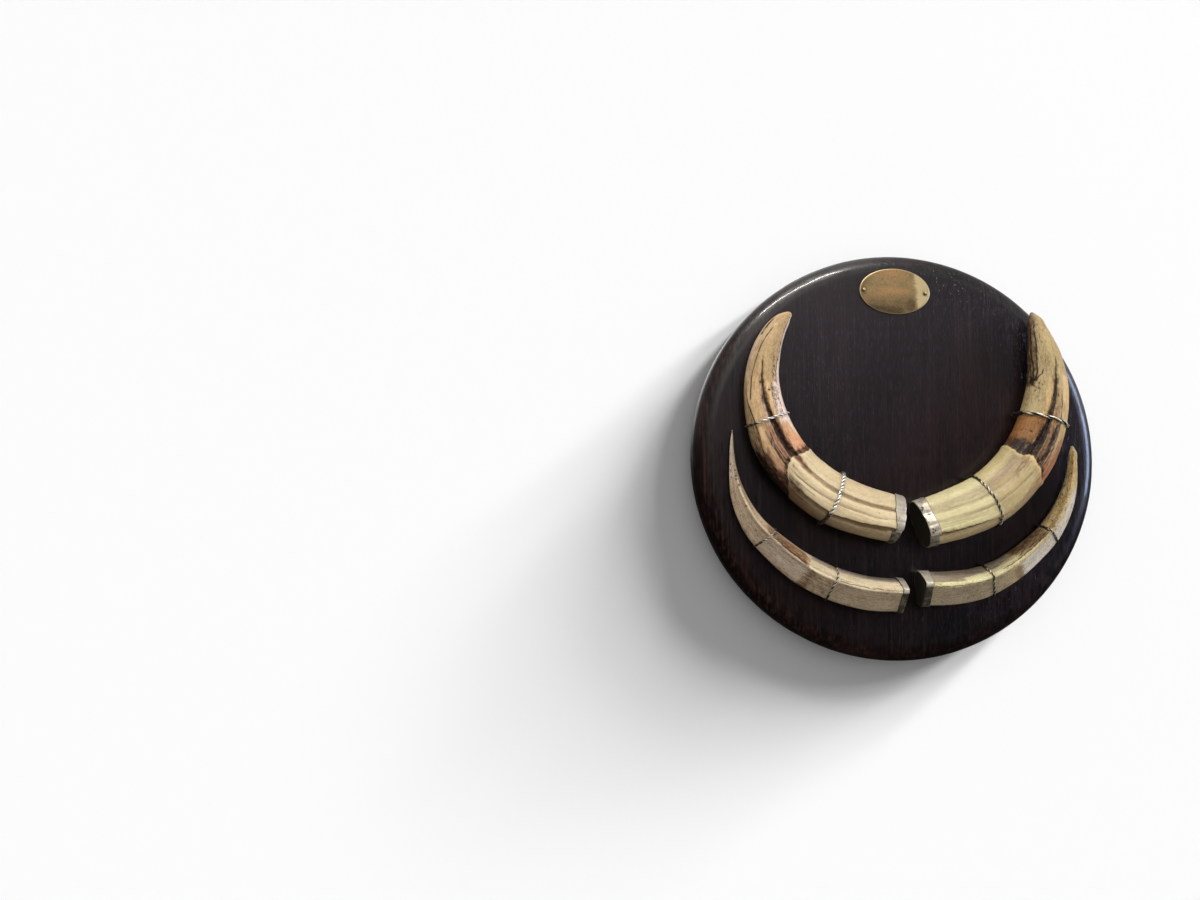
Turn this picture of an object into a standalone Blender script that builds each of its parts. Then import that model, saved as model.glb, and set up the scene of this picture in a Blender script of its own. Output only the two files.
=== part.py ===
"""A round wooden wall plaque that carries a full set of warthog tusks.

Two large grooved upper tusks and two slimmer ridged lower tusks lie on the plaque with their base ends
at its middle and their tips curving up at the sides. Each tusk has a silver cap over its base end and
two silver wires bound over it, and an oval brass plate is pinned near the top.

Frame: metres, +Z up. The back of the board lies on the plane Y = 0, its front faces -Y, and the origin is
the centre of the back. "Height" below means the distance out from the wall, which is -Y.
"""

import math

import bmesh
import bpy
import numpy as np
from mathutils import Vector

# ------------------------------------------------------------------ driving dimensions (metres, degrees)

GAP = 0.0003                        # clearance between pieces that touch

BOARD_RADIUS = 0.180
BOARD_THICKNESS = 0.030
BOARD_ROLL = 0.016                  # width and depth of the rounded front edge
BOARD_BACK_ROUND = 0.0035
BOARD_BACK_CHAMFER = 0.3            # share of the back rounding at its middle point
BOARD_SEGMENTS = 72
BOARD_ROLL_STEPS = 5

PLATE_CENTRE = (-0.0015, 0.1448)    # across and up
PLATE_HALF_LENGTH = 0.0315
PLATE_HALF_HEIGHT = 0.0203
PLATE_THICKNESS = 0.0012
PLATE_EDGE = 0.0003                 # small bevel round the plate
PLATE_TURN = -3.1                   # the plate sits a little crooked
PLATE_SEGMENTS = 44

PIN_OFFSET = 0.0277                 # from the plate's middle, along its length
PIN_HEAD_RADIUS = 0.0017
PIN_HEAD_RISE = 0.0010
PIN_SHANK_RADIUS = 0.0008
PIN_SHANK_DEPTH = 0.0080
PIN_SEGMENTS = 14
PIN_DOME_STEPS = 3

WIRE_RADIUS = 0.0009
WIRE_HOLE_DEPTH = 0.0070
WIRE_END_DEPTH = 0.0055             # how far a wire's end goes into its hole
WIRE_ARCH_POINTS = 13
WIRE_ARCH_ANGLES = (-40, 199, 4)    # directions over which a wire may rest on a section
WIRE_SLACK = 0.00025                # the straight runs between a wire's points clear the skin by this
WIRE_TURN_WEIGHT = 0.012            # metres of wire that count like a turn of one radian, to space points
HOLE_SEGMENTS = 8
DRILL_CLEAR = 0.0020                # how far a drill starts in front of the face it cuts

CAP_LENGTH = {"upper": 0.0084, "lower": 0.0074}
CAP_WALL = 0.0008
CAP_END_ROUND = 0.0005
CAP_RISE = (0.75, 0.95)             # shares of the length over which a tusk lifts for its cap's wall

FRONT_ANGLES = 20                   # section points over the front half
BACK_ANGLES = 8                     # section points over the back half
SECTION_STEP = 0.0150               # distance between sections along a tusk
TIP_STEPS = (0.0009, 0.0035, 0.0080, 0.0145)
THINNEST = 0.0002                   # least half width of a section
LOOK_AHEAD = 0.0001                 # step used to find a curve's direction

# A section is a rounded polygon of flats, each (direction in degrees, distance from the middle).
# 0 points to the outside of the tusk's curve, 90 to the front, 180 to the inside and 270 to the board.
UPPER_FLATS = ((0, 0.97), (38, 0.84), (78, 0.80), (122, 0.74), (165, 0.94), (225, 0.93), (270, 0.78),
               (315, 0.93))
UPPER_SHARPNESS = 8.0
LOWER_FLATS = ((350, 0.95), (60, 0.55), (152, 0.75), (195, 0.97), (270, 0.74))
LOWER_SHARPNESS = 9.0

# The long groove of an upper tusk: (share of the length from the tip, direction, depth over half width).
UPPER_GROOVE = ((0.10, 84, 0.00), (0.27, 92, 0.07), (0.40, 101, 0.16), (0.52, 106, 0.17), (0.60, 102, 0.09),
                (0.84, 112, 0.08), (1.00, 112, 0.08))
GROOVE_WIDTH = 9.0

# Stations from the tip to the base: across, up, and half the tusk's width there.
STATIONS = {
    "tusk_upper_left": (
        (-0.0961, 0.1232, 0.0000), (-0.1018, 0.1186, 0.0052), (-0.1094, 0.1100, 0.0086),
        (-0.1168, 0.0956, 0.0114), (-0.1234, 0.0649, 0.0146), (-0.1205, 0.0339, 0.0176),
        (-0.1097, 0.0048, 0.0204), (-0.0902, -0.0193, 0.0208), (-0.0652, -0.0379, 0.0215),
        (-0.0360, -0.0493, 0.0206), (-0.0088, -0.0560, 0.0195)),
    "tusk_upper_right": (
        (0.1184, 0.1261, 0.0000), (0.1190, 0.1205, 0.0048), (0.1205, 0.1103, 0.0081),
        (0.1234, 0.0946, 0.0119), (0.1264, 0.0643, 0.0164), (0.1218, 0.0341, 0.0194),
        (0.1107, 0.0056, 0.0211), (0.0926, -0.0189, 0.0220), (0.0694, -0.0386, 0.0225),
        (0.0416, -0.0507, 0.0215), (0.0100, -0.0602, 0.0192)),
    "tusk_lower_left": (
        (-0.1482, 0.0209, 0.0000), (-0.1485, 0.0155, 0.0009), (-0.1488, 0.0064, 0.0016),
        (-0.1481, -0.0084, 0.0028), (-0.1433, -0.0362, 0.0069), (-0.1305, -0.0614, 0.0101),
        (-0.1107, -0.0817, 0.0123), (-0.0878, -0.0987, 0.0138), (-0.0621, -0.1110, 0.0144),
        (-0.0347, -0.1183, 0.0143), (-0.0040, -0.1207, 0.0137)),
    "tusk_lower_right": (
        (0.1521, 0.0081, 0.0000), (0.1519, 0.0036, 0.0027), (0.1514, -0.0050, 0.0037),
        (0.1503, -0.0186, 0.0047), (0.1427, -0.0437, 0.0072), (0.1290, -0.0662, 0.0094),
        (0.1100, -0.0844, 0.0107), (0.0887, -0.0998, 0.0119), (0.0648, -0.1103, 0.0133),
        (0.0387, -0.1143, 0.0141), (0.0108, -0.1151, 0.0143)),
}
TIP_LIFT = {"upper": 0.0070, "lower": 0.0050}     # how far a tip stands off the board
LIFT_REACH = {"upper": 0.50, "lower": 0.60}       # share of the length over which it comes down
# Where the wires cross a tusk: each wire's share of the length at the inside and outside of the curve.
WIRE_PLACES = {
    "tusk_upper_left": ((0.405, 0.413), (0.752, 0.766)),
    "tusk_upper_right": ((0.390, 0.396), (0.750, 0.762)),
    "tusk_lower_left": ((0.439, 0.425), (0.722, 0.727)),
    "tusk_lower_right": ((0.383, 0.391), (0.708, 0.714)),
}
WIRE_LABELS = ("middle", "base")

COLLECTION = "warthog_tusk_plaque"
CUTTERS = "cutters"

# name: (base colour, roughness, metallic)
MATERIALS = {
    "dark_wood": ((0.018, 0.012, 0.010), 0.38, 0.0),
    "ivory": ((0.72, 0.58, 0.36), 0.42, 0.0),
    "silver": ((0.56, 0.53, 0.48), 0.34, 1.0),
    "brass": ((0.48, 0.34, 0.13), 0.42, 1.0),
}


# ------------------------------------------------------------------ scene and object helpers

def clear_scene():
    for obj in list(bpy.data.objects):
        bpy.data.objects.remove(obj, do_unlink=True)


def make_collection(name):
    collection = bpy.data.collections.new(name)
    bpy.context.scene.collection.children.link(collection)
    return collection


def make_material(name):
    colour, roughness, metallic = MATERIALS[name]
    material = bpy.data.materials.new(name)
    material.use_nodes = True
    shader = material.node_tree.nodes["Principled BSDF"]
    shader.inputs["Base Color"].default_value = (*colour, 1.0)
    shader.inputs["Roughness"].default_value = roughness
    shader.inputs["Metallic"].default_value = metallic
    return material


def add_object(name, data, material, smooth_angle=None):
    """Links mesh or curve data as a named object below the plaque's empty."""
    obj = bpy.data.objects.new(name, data)
    bpy.data.collections[COLLECTION].objects.link(obj)
    obj.parent = bpy.data.objects["plaque"]
    data.materials.append(bpy.data.materials[material])
    if smooth_angle is not None:
        data.shade_smooth()
        data.set_sharp_from_angle(angle=math.radians(smooth_angle))
    return obj


def mesh_from(name, bm):
    bmesh.ops.recalc_face_normals(bm, faces=bm.faces[:])
    mesh = bpy.data.meshes.new(name)
    bm.to_mesh(mesh)
    bm.free()
    return mesh


def face_forward(obj, across=0.0, up=0.0):
    """Turns an object modelled along local +Z so that it looks out of the wall, and places it."""
    obj.rotation_euler = (math.radians(90), 0, 0)
    obj.location = (across, 0, up)


def turned_object(name, profile, segments, material):
    """Turns a profile of (radius, height) points, listed from the front centre to the back centre."""
    bm = bmesh.new()
    verts = [bm.verts.new((radius, 0, height)) for radius, height in profile]
    for a, b in zip(verts, verts[1:]):
        bm.edges.new((a, b))
    mesh = bpy.data.meshes.new(name)
    bm.to_mesh(mesh)
    bm.free()
    obj = add_object(name, mesh, material)
    screw = obj.modifiers.new("turn", "SCREW")
    screw.steps = segments
    screw.render_steps = segments
    screw.use_merge_vertices = True
    screw.merge_threshold = 0.00005
    screw.use_smooth_shade = True
    return obj


def drill(obj, places, radius, floor, top):
    """Cuts round blind holes into an object that looks out of the wall, at (across, up) places."""
    cutter_mesh = bmesh.new()
    for across, up in places:
        made = bmesh.ops.create_cone(cutter_mesh, cap_ends=True, segments=HOLE_SEGMENTS, radius1=radius,
                                     radius2=radius, depth=top - floor)
        bmesh.ops.translate(cutter_mesh, verts=made["verts"], vec=(across, up, (top + floor) / 2))
    name = obj.name + "_drill"
    cutter = bpy.data.objects.new(name, mesh_from(name, cutter_mesh))
    bpy.data.collections[CUTTERS].objects.link(cutter)
    face_forward(cutter)
    cutter.hide_render = True
    cutter.display_type = "WIRE"
    cut = obj.modifiers.new("drill", "BOOLEAN")
    cut.operation = "DIFFERENCE"
    cut.solver = "EXACT"
    cut.object = cutter


# ------------------------------------------------------------------ the shape of a tusk

def hermite(knots, values, at):
    """A smooth curve through values at knots, read at one place."""
    slopes = np.gradient(values, knots)
    i = int(np.clip(np.searchsorted(knots, at) - 1, 0, len(knots) - 2))
    span = knots[i + 1] - knots[i]
    u = (at - knots[i]) / span
    rise = values[i] * (1 + 2 * u) * (1 - u) ** 2 + values[i + 1] * u * u * (3 - 2 * u)
    return rise + span * (slopes[i] * u * (1 - u) ** 2 + slopes[i + 1] * u * u * (u - 1))


def rounded_polygon(flats, sharpness, angle):
    """Distance from the middle to the skin of a polygon of flats with soft corners."""
    total = 0.0
    for direction, distance in flats:
        facing = math.cos(angle - math.radians(direction))
        if facing > 0:
            total += (facing / distance) ** sharpness
    return total ** (-1 / sharpness)


class Tusk:
    """One tusk: a curve parallel to the board, with a section that changes along it."""

    def __init__(self, name):
        self.name = name
        self.row = "upper" if "upper" in name else "lower"
        self.turn = 1 if "left" in name else -1
        self.stations = np.array(STATIONS[name])
        steps = np.hypot(*np.diff(self.stations[:, :2], axis=0).T)
        self.knots = np.concatenate(([0.0], np.cumsum(steps)))
        self.length = float(self.knots[-1])
        flats = UPPER_FLATS if self.row == "upper" else LOWER_FLATS
        sharpness = UPPER_SHARPNESS if self.row == "upper" else LOWER_SHARPNESS
        self.skin = lambda angle: rounded_polygon(flats, sharpness, angle)
        reach = [self.skin(a) * math.cos(a) for a in np.radians(np.arange(0, 360, 2))]
        self.shift = (max(reach) + min(reach)) / 2
        self.scale = 2 / (max(reach) - min(reach))
        self.back = -self.outline(1.0, math.radians(270), 0.0)[1]

    def outline(self, share, angle, spread):
        """A section's point over half its width: (towards the outside of the curve, towards the front)."""
        radius = self.skin(angle)
        if self.row == "upper":
            places = [p[0] for p in UPPER_GROOVE]
            middle = math.radians(np.interp(share, places, [p[1] for p in UPPER_GROOVE]))
            depth = np.interp(share, places, [p[2] for p in UPPER_GROOVE])
            radius -= depth * math.exp(-((angle - middle) / math.radians(GROOVE_WIDTH)) ** 2)
        radius += spread
        return ((radius * math.cos(angle) - self.shift) * self.scale, radius * math.sin(angle) * self.scale)

    def half_width(self, along):
        return max(THINNEST, float(hermite(self.knots, self.stations[:, 2], along)))

    def frame(self, along):
        """The section's middle and its two directions, outwards in the plane of the board and forwards."""
        share = along / self.length
        here = [float(hermite(self.knots, self.stations[:, k], along)) for k in (0, 1)]
        ahead = [float(hermite(self.knots, self.stations[:, k], along + LOOK_AHEAD)) for k in (0, 1)]
        way = Vector((ahead[0] - here[0], 0, ahead[1] - here[1])).normalized()
        outward = Vector((way.z, 0, -way.x)) * self.turn
        lift = TIP_LIFT[self.row] * max(0.0, 1 - share / LIFT_REACH[self.row]) ** 2
        lift += (GAP + CAP_WALL) * float(np.interp(share, CAP_RISE, (0.0, 1.0)))
        height = BOARD_THICKNESS + GAP + lift + self.back * self.half_width(along)
        return Vector((here[0], -height, here[1])), outward, Vector((0, -1, 0))

    def ring(self, along, angles, offset=0.0):
        """Points round the section at one place, held off the skin by offset."""
        middle, outward, forward = self.frame(along)
        half = self.half_width(along)
        points = []
        for angle in angles:
            x, y = self.outline(along / self.length, angle, offset / half / self.scale)
            points.append(middle + outward * (x * half) + forward * (y * half))
        return points


def section_angles():
    front = np.linspace(0, math.pi, FRONT_ANGLES, endpoint=False)
    back = np.linspace(math.pi, 2 * math.pi, BACK_ANGLES, endpoint=False)
    return list(front) + list(back)


def loft(bm, rings):
    """Skins a row of rings of points that have the same count, and returns the rings' vertices."""
    rows = [[bm.verts.new(point) for point in ring] for ring in rings]
    for a, b in zip(rows, rows[1:]):
        for i in range(len(a)):
            j = (i + 1) % len(a)
            bm.faces.new((a[i], a[j], b[j], b[i]))
    return rows


def close_end(bm, row, middle=None):
    """Closes a ring with a fan round its middle."""
    centre = bm.verts.new(middle or sum((v.co for v in row), Vector()) / len(row))
    for i in range(len(row)):
        bm.faces.new((centre, row[i], row[(i + 1) % len(row)]))


# ------------------------------------------------------------------ the pieces

def build_board(holes, pin_holes):
    """The turned board: flat field, rounded front edge, straight side and softened back edge."""
    profile = [(0.0, BOARD_THICKNESS), (BOARD_RADIUS - BOARD_ROLL, BOARD_THICKNESS)]
    for step in range(1, BOARD_ROLL_STEPS + 1):
        angle = math.radians(90 * step / BOARD_ROLL_STEPS)
        profile.append((BOARD_RADIUS - BOARD_ROLL + BOARD_ROLL * math.sin(angle),
                        BOARD_THICKNESS - BOARD_ROLL + BOARD_ROLL * math.cos(angle)))
    profile += [(BOARD_RADIUS, BOARD_BACK_ROUND),
                (BOARD_RADIUS - BOARD_BACK_CHAMFER * BOARD_BACK_ROUND,
                 BOARD_BACK_CHAMFER * BOARD_BACK_ROUND),
                (BOARD_RADIUS - BOARD_BACK_ROUND, 0.0), (0.0, 0.0)]
    board = turned_object("board", profile, BOARD_SEGMENTS, "dark_wood")
    face_forward(board)
    above = BOARD_THICKNESS + DRILL_CLEAR
    drill(board, holes, WIRE_RADIUS + GAP, BOARD_THICKNESS - WIRE_HOLE_DEPTH, above)
    drill(board, pin_holes, PIN_SHANK_RADIUS + GAP, BOARD_THICKNESS - PIN_SHANK_DEPTH, above)


def pin_places():
    turn = math.radians(PLATE_TURN)
    reach = (PIN_OFFSET * math.cos(turn), PIN_OFFSET * math.sin(turn))
    return {side: (PLATE_CENTRE[0] + sign * reach[0], PLATE_CENTRE[1] + sign * reach[1])
            for side, sign in (("left", -1), ("right", 1))}


def build_name_plate():
    """The oval brass plate with its two pin holes."""
    bm = bmesh.new()
    bmesh.ops.create_cone(bm, cap_ends=True, segments=PLATE_SEGMENTS, radius1=1, radius2=1,
                          depth=PLATE_THICKNESS)
    turn = math.radians(PLATE_TURN)
    base = BOARD_THICKNESS + GAP + PLATE_THICKNESS / 2
    for vert in bm.verts:
        x, y = vert.co.x * PLATE_HALF_LENGTH, vert.co.y * PLATE_HALF_HEIGHT
        vert.co.x = PLATE_CENTRE[0] + x * math.cos(turn) - y * math.sin(turn)
        vert.co.y = PLATE_CENTRE[1] + x * math.sin(turn) + y * math.cos(turn)
        vert.co.z += base
    plate = add_object("name_plate", mesh_from("name_plate", bm), "brass", smooth_angle=40)
    face_forward(plate)
    edge = plate.modifiers.new("edge", "BEVEL")
    edge.width = PLATE_EDGE
    edge.segments = 1
    edge.limit_method = "ANGLE"
    edge.angle_limit = math.radians(60)
    drill(plate, pin_places().values(), PIN_SHANK_RADIUS + GAP, BOARD_THICKNESS - DRILL_CLEAR,
          BOARD_THICKNESS + PLATE_THICKNESS + DRILL_CLEAR)


def build_pin(side, place):
    """A pin with a low domed head that bears on the plate and a shank in the board."""
    seat = BOARD_THICKNESS + PLATE_THICKNESS + 2 * GAP
    profile = []
    for step in range(PIN_DOME_STEPS + 1):
        angle = math.radians(90 * step / PIN_DOME_STEPS)
        profile.append((PIN_HEAD_RADIUS * math.sin(angle), seat + PIN_HEAD_RISE * math.cos(angle)))
    foot = BOARD_THICKNESS - PIN_SHANK_DEPTH + 2 * GAP
    profile += [(PIN_SHANK_RADIUS, seat), (PIN_SHANK_RADIUS, foot + PIN_SHANK_RADIUS), (0.0, foot)]
    pin = turned_object("plate_pin_" + side, profile, PIN_SEGMENTS, "brass")
    face_forward(pin, *place)


def build_tusk(tusk):
    """The tusk's closed body, from its blunt tip to the flat base end inside the cap."""
    end = tusk.length - CAP_WALL - GAP
    bound = [(inner + outer) / 2 * tusk.length for inner, outer in WIRE_PLACES[tusk.name]]
    fixed = [TIP_STEPS[-1]] + bound + [end]
    places = list(TIP_STEPS)
    for start, stop in zip(fixed, fixed[1:]):
        count = max(1, round((stop - start) / SECTION_STEP))
        places += list(np.linspace(start, stop, count + 1))[1:]
    angles = section_angles()
    bm = bmesh.new()
    rows = loft(bm, [tusk.ring(along, angles) for along in places])
    close_end(bm, rows[0], tusk.frame(0.0)[0])
    close_end(bm, rows[-1])
    add_object(tusk.name, mesh_from(tusk.name, bm), "ivory", smooth_angle=50)


def build_cap(tusk):
    """The silver cap: a thin band that follows the tusk's section, closed by an end plate."""
    angles = section_angles()
    rings = [tusk.ring(tusk.length - CAP_LENGTH[tusk.row], angles, GAP),
             tusk.ring(tusk.length - CAP_END_ROUND, angles, GAP),
             tusk.ring(tusk.length, angles, GAP - CAP_END_ROUND)]
    bm = bmesh.new()
    rows = loft(bm, rings)
    close_end(bm, rows[-1])
    name = tusk.name.replace("tusk", "cap")
    cap = add_object(name, mesh_from(name, bm), "silver", smooth_angle=35)
    shell = cap.modifiers.new("wall", "SOLIDIFY")
    shell.thickness = CAP_WALL
    shell.offset = 1.0
    shell.use_even_offset = True


def taut(points):
    """The chain that a taut line touches, of points given anticlockwise as (across, height, along)."""
    chain = []
    for point in points:
        while len(chain) > 1:
            before, last = chain[-2], chain[-1]
            turn = ((last[0] - before[0]) * (point[1] - before[1])
                    - (last[1] - before[1]) * (point[0] - before[0]))
            if turn > 0:
                break
            chain.pop()
        chain.append(point)
    return np.array(chain)


def wire_arch(tusk, inner, outer):
    """A taut wire's route: up from the board, over the skin and down, a little askew to the tusk."""
    hold = WIRE_RADIUS + GAP + WIRE_SLACK
    touched = []
    for angle in np.radians(np.arange(*WIRE_ARCH_ANGLES)):
        share = inner + (outer - inner) * (1 + math.cos(angle)) / 2
        along = share * tusk.length
        half = tusk.half_width(along)
        x, y = tusk.outline(share, angle, hold / half / tusk.scale)
        touched.append((x * half, y * half - tusk.frame(along)[0].y, along))
    chain = taut(touched)
    steps = np.diff(chain[:, :2], axis=0)
    heading = np.unwrap(np.arctan2(steps[:, 1], steps[:, 0]))
    bend = np.abs(np.gradient(heading))
    walked = np.concatenate(([0.0], np.cumsum(np.hypot(*steps.T) + WIRE_TURN_WEIGHT * bend)))
    even = np.linspace(0, walked[-1], WIRE_ARCH_POINTS)
    arch = list(zip(*(np.interp(even, walked, chain[:, k]) for k in range(3))))
    foot = BOARD_THICKNESS - WIRE_END_DEPTH
    route = []
    for x, height, along in [(arch[0][0], foot, arch[0][2])] + arch + [(arch[-1][0], foot, arch[-1][2])]:
        middle, outward, _ = tusk.frame(along)
        place = middle + outward * float(x)
        route.append(Vector((place.x, -float(height), place.z)))
    return route


def build_wire(tusk, label, route):
    """One binding wire, with both ends down in the board."""
    name = tusk.name.replace("tusk", "wire") + "_" + label
    curve = bpy.data.curves.new(name, "CURVE")
    curve.dimensions = "3D"
    curve.bevel_depth = WIRE_RADIUS
    curve.bevel_resolution = 2
    curve.use_fill_caps = True
    spline = curve.splines.new("POLY")
    spline.points.add(len(route) - 1)
    for point, place in zip(spline.points, route):
        point.co = (*place, 1.0)
    add_object(name, curve, "silver")


def main():
    clear_scene()
    make_collection(COLLECTION)
    make_collection(CUTTERS)
    for name in MATERIALS:
        make_material(name)
    plaque = bpy.data.objects.new("plaque", None)
    bpy.data.collections[COLLECTION].objects.link(plaque)

    holes = []
    for name in STATIONS:
        tusk = Tusk(name)
        build_tusk(tusk)
        build_cap(tusk)
        for label, (inner, outer) in zip(WIRE_LABELS, WIRE_PLACES[name]):
            route = wire_arch(tusk, inner, outer)
            build_wire(tusk, label, route)
            holes += [(route[0].x, route[0].z), (route[-1].x, route[-1].z)]
    pins = pin_places()
    build_board(holes, pins.values())
    build_name_plate()
    for side, place in pins.items():
        build_pin(side, place)


main()
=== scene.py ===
"""The looks of a round wooden wall plaque that carries four wired-on warthog tusks in silver caps.

Everything is in metres in the CAD model's frame: the board's back lies on Y = 0, its front faces -Y, and Z is up.
A place on a tusk is given as its share of the length from the tip and its direction round the section in
degrees: 0 is the outside of the tusk's curve, 90 the front, 180 the inside and 270 the board.
"""

import math

import bpy
import numpy as np
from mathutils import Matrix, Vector


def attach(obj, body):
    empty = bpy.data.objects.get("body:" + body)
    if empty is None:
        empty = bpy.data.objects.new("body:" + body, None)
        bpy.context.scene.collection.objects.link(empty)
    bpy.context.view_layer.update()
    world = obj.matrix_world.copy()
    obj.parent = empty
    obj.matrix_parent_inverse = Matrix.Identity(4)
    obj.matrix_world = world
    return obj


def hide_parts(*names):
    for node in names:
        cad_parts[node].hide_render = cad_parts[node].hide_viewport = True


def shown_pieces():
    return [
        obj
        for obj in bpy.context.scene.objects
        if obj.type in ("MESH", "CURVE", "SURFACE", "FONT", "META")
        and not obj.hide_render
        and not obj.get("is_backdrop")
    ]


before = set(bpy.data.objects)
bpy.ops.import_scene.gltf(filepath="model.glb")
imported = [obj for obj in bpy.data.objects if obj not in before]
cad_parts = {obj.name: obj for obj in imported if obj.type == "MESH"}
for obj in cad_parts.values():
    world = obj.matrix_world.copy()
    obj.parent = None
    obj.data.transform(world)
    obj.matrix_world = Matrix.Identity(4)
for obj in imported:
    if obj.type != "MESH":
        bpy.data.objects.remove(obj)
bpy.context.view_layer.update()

MM = 0.001
LATTICE = 128               # cells of the noise's lattice before it repeats

# ---- the CAD model's own dimensions

GAP = 0.0003
BOARD_RADIUS = 0.180
BOARD_THICKNESS = 0.030
BOARD_ROLL = 0.016
BOARD_BACK_ROUND = 0.0035

PLATE_CENTRE = (-0.0015, 0.1448)
PLATE_HALF_LENGTH = 0.0315
PLATE_HALF_HEIGHT = 0.0203
PLATE_THICKNESS = 0.0012
PLATE_TURN = math.radians(-3.1)
PIN_OFFSET = 0.0277
PIN_HEAD_RADIUS = 0.0017
PIN_HEAD_RISE = 0.0010
PIN_SHANK_RADIUS = 0.0008
PIN_SHANK_DEPTH = 0.0080

WIRE_END_DEPTH = 0.0055
CAP_WALL = 0.0008
CAP_RISE = (0.75, 0.95)
THINNEST = 0.0002
LOOK_AHEAD = 0.0001

# A tusk's section as a rounded polygon: (direction, distance) of its flats.
FLATS = {
    "upper": ((0, 0.97), (38, 0.84), (78, 0.8), (122, 0.74), (165, 0.94), (225, 0.93), (270, 0.78), (315, 0.93)),
    "lower": ((350, 0.95), (60, 0.55), (152, 0.75), (195, 0.97), (270, 0.74)),
}
SHARPNESS = {"upper": 8.0, "lower": 9.0}
TIP_LIFT = {"upper": 0.0070, "lower": 0.0050}
LIFT_REACH = {"upper": 0.50, "lower": 0.60}
# A tusk's curve from tip to base: (x, z, half the width).
STATIONS = {
    "upper_left": (
        (-0.0961, 0.1232, 0), (-0.1018, 0.1186, 0.0052), (-0.1094, 0.11, 0.0086), (-0.1168, 0.0956, 0.0114),
        (-0.1234, 0.0649, 0.0146), (-0.1205, 0.0339, 0.0176), (-0.1097, 0.0048, 0.0204), (-0.0902, -0.0193, 0.0208),
        (-0.0652, -0.0379, 0.0215), (-0.036, -0.0493, 0.0206), (-0.0088, -0.056, 0.0195)),
    "upper_right": (
        (0.1184, 0.1261, 0), (0.119, 0.1205, 0.0048), (0.1205, 0.1103, 0.0081), (0.1234, 0.0946, 0.0119),
        (0.1264, 0.0643, 0.0164), (0.1218, 0.0341, 0.0194), (0.1107, 0.0056, 0.0211), (0.0926, -0.0189, 0.022),
        (0.0694, -0.0386, 0.0225), (0.0416, -0.0507, 0.0215), (0.01, -0.0602, 0.0192)),
    "lower_left": (
        (-0.1482, 0.0209, 0), (-0.1485, 0.0155, 0.0009), (-0.1488, 0.0064, 0.0016), (-0.1481, -0.0084, 0.0028),
        (-0.1433, -0.0362, 0.0069), (-0.1305, -0.0614, 0.0101), (-0.1107, -0.0817, 0.0123),
        (-0.0878, -0.0987, 0.0138), (-0.0621, -0.111, 0.0144), (-0.0347, -0.1183, 0.0143),
        (-0.004, -0.1207, 0.0137)),
    "lower_right": (
        (0.1521, 0.0081, 0), (0.1519, 0.0036, 0.0027), (0.1514, -0.005, 0.0037), (0.1503, -0.0186, 0.0047),
        (0.1427, -0.0437, 0.0072), (0.129, -0.0662, 0.0094), (0.11, -0.0844, 0.0107), (0.0887, -0.0998, 0.0119),
        (0.0648, -0.1103, 0.0133), (0.0387, -0.1143, 0.0141), (0.0108, -0.1151, 0.0143)),
}

# ---- how finely each piece is built

FINE = {"upper": (430, 198, 22), "lower": (400, 150, 16)}   # places along, round the front, round the back
FRONT_SPAN = (-32, 202)                                      # the directions that count as the front
TIP_ROUND = {"upper_left": 0.0022, "upper_right": 0.0016, "lower_left": 0.0003, "lower_right": 0.0012}
TIP_CROWDING = 0.90
CAP_ROUND, CAP_ROWS, CAP_END_RINGS = 220, 26, (0.94, 0.8, 0.5, 0.2)
TAUT_POINTS, WIRE_POINTS, WIRE_SIDES = 400, 300, 10
BOARD_ROUND, PLATE_ROUND, PIN_ROUND = 320, 144, 28


# ---- small helpers in numbers

def smooth(value, low=0.0, high=1.0):
    """Rises softly from 0 at low to 1 at high."""
    t = np.clip((value - low) / (high - low), 0, 1)
    return t * t * (3 - 2 * t)


def within(value, low, high, soft):
    """1 between low and high, with soft ends."""
    return smooth(value, low - soft, low + soft) * (1 - smooth(value, high - soft, high + soft))


def bell(value, width):
    """1 at 0, and falls off to both sides within a width."""
    return np.exp(-(value / width) ** 2)


def noise(seed, x, y):
    """Smooth lattice noise from -1 to 1."""
    table = np.random.default_rng(seed).uniform(-1, 1, (LATTICE, LATTICE))
    x, y = np.broadcast_arrays(x, y)
    i, j = np.floor(x).astype(int), np.floor(y).astype(int)
    u, v = smooth(x - i), smooth(y - j)
    a, b, c, d = (table[(i + p) % LATTICE, (j + q) % LATTICE] for p, q in ((0, 0), (1, 0), (0, 1), (1, 1)))
    return a * (1 - u) * (1 - v) + b * u * (1 - v) + c * (1 - u) * v + d * u * v


def hermite(knots, values, at):
    """A smooth curve through values at knots."""
    slopes = np.gradient(values, knots)
    i = np.clip(np.searchsorted(knots, at) - 1, 0, len(knots) - 2)
    span = knots[i + 1] - knots[i]
    u = (at - knots[i]) / span
    rise = values[i] * (1 + 2 * u) * (1 - u) ** 2 + values[i + 1] * u * u * (3 - 2 * u)
    return rise + span * (slopes[i] * u * (1 - u) ** 2 + slopes[i + 1] * u * u * (u - 1))


def columns(rows):
    return np.array(rows, float).T


def stacked(*parts):
    """Points from their coordinates, which broadcast together."""
    return np.stack(np.broadcast_arrays(*parts), -1)


def walked(chain):
    """Distance along a chain of points, seen in its first two coordinates."""
    return np.concatenate(([0.0], np.cumsum(np.hypot(*np.diff(chain[:, :2], axis=0).T))))


def evenly(chain, count):
    """The same chain as a number of evenly spaced points."""
    far = walked(chain)
    even = np.linspace(0, far[-1], count)
    return np.stack([np.interp(even, far, chain[:, k]) for k in range(3)], -1)


# ---- the shape of a tusk

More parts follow.
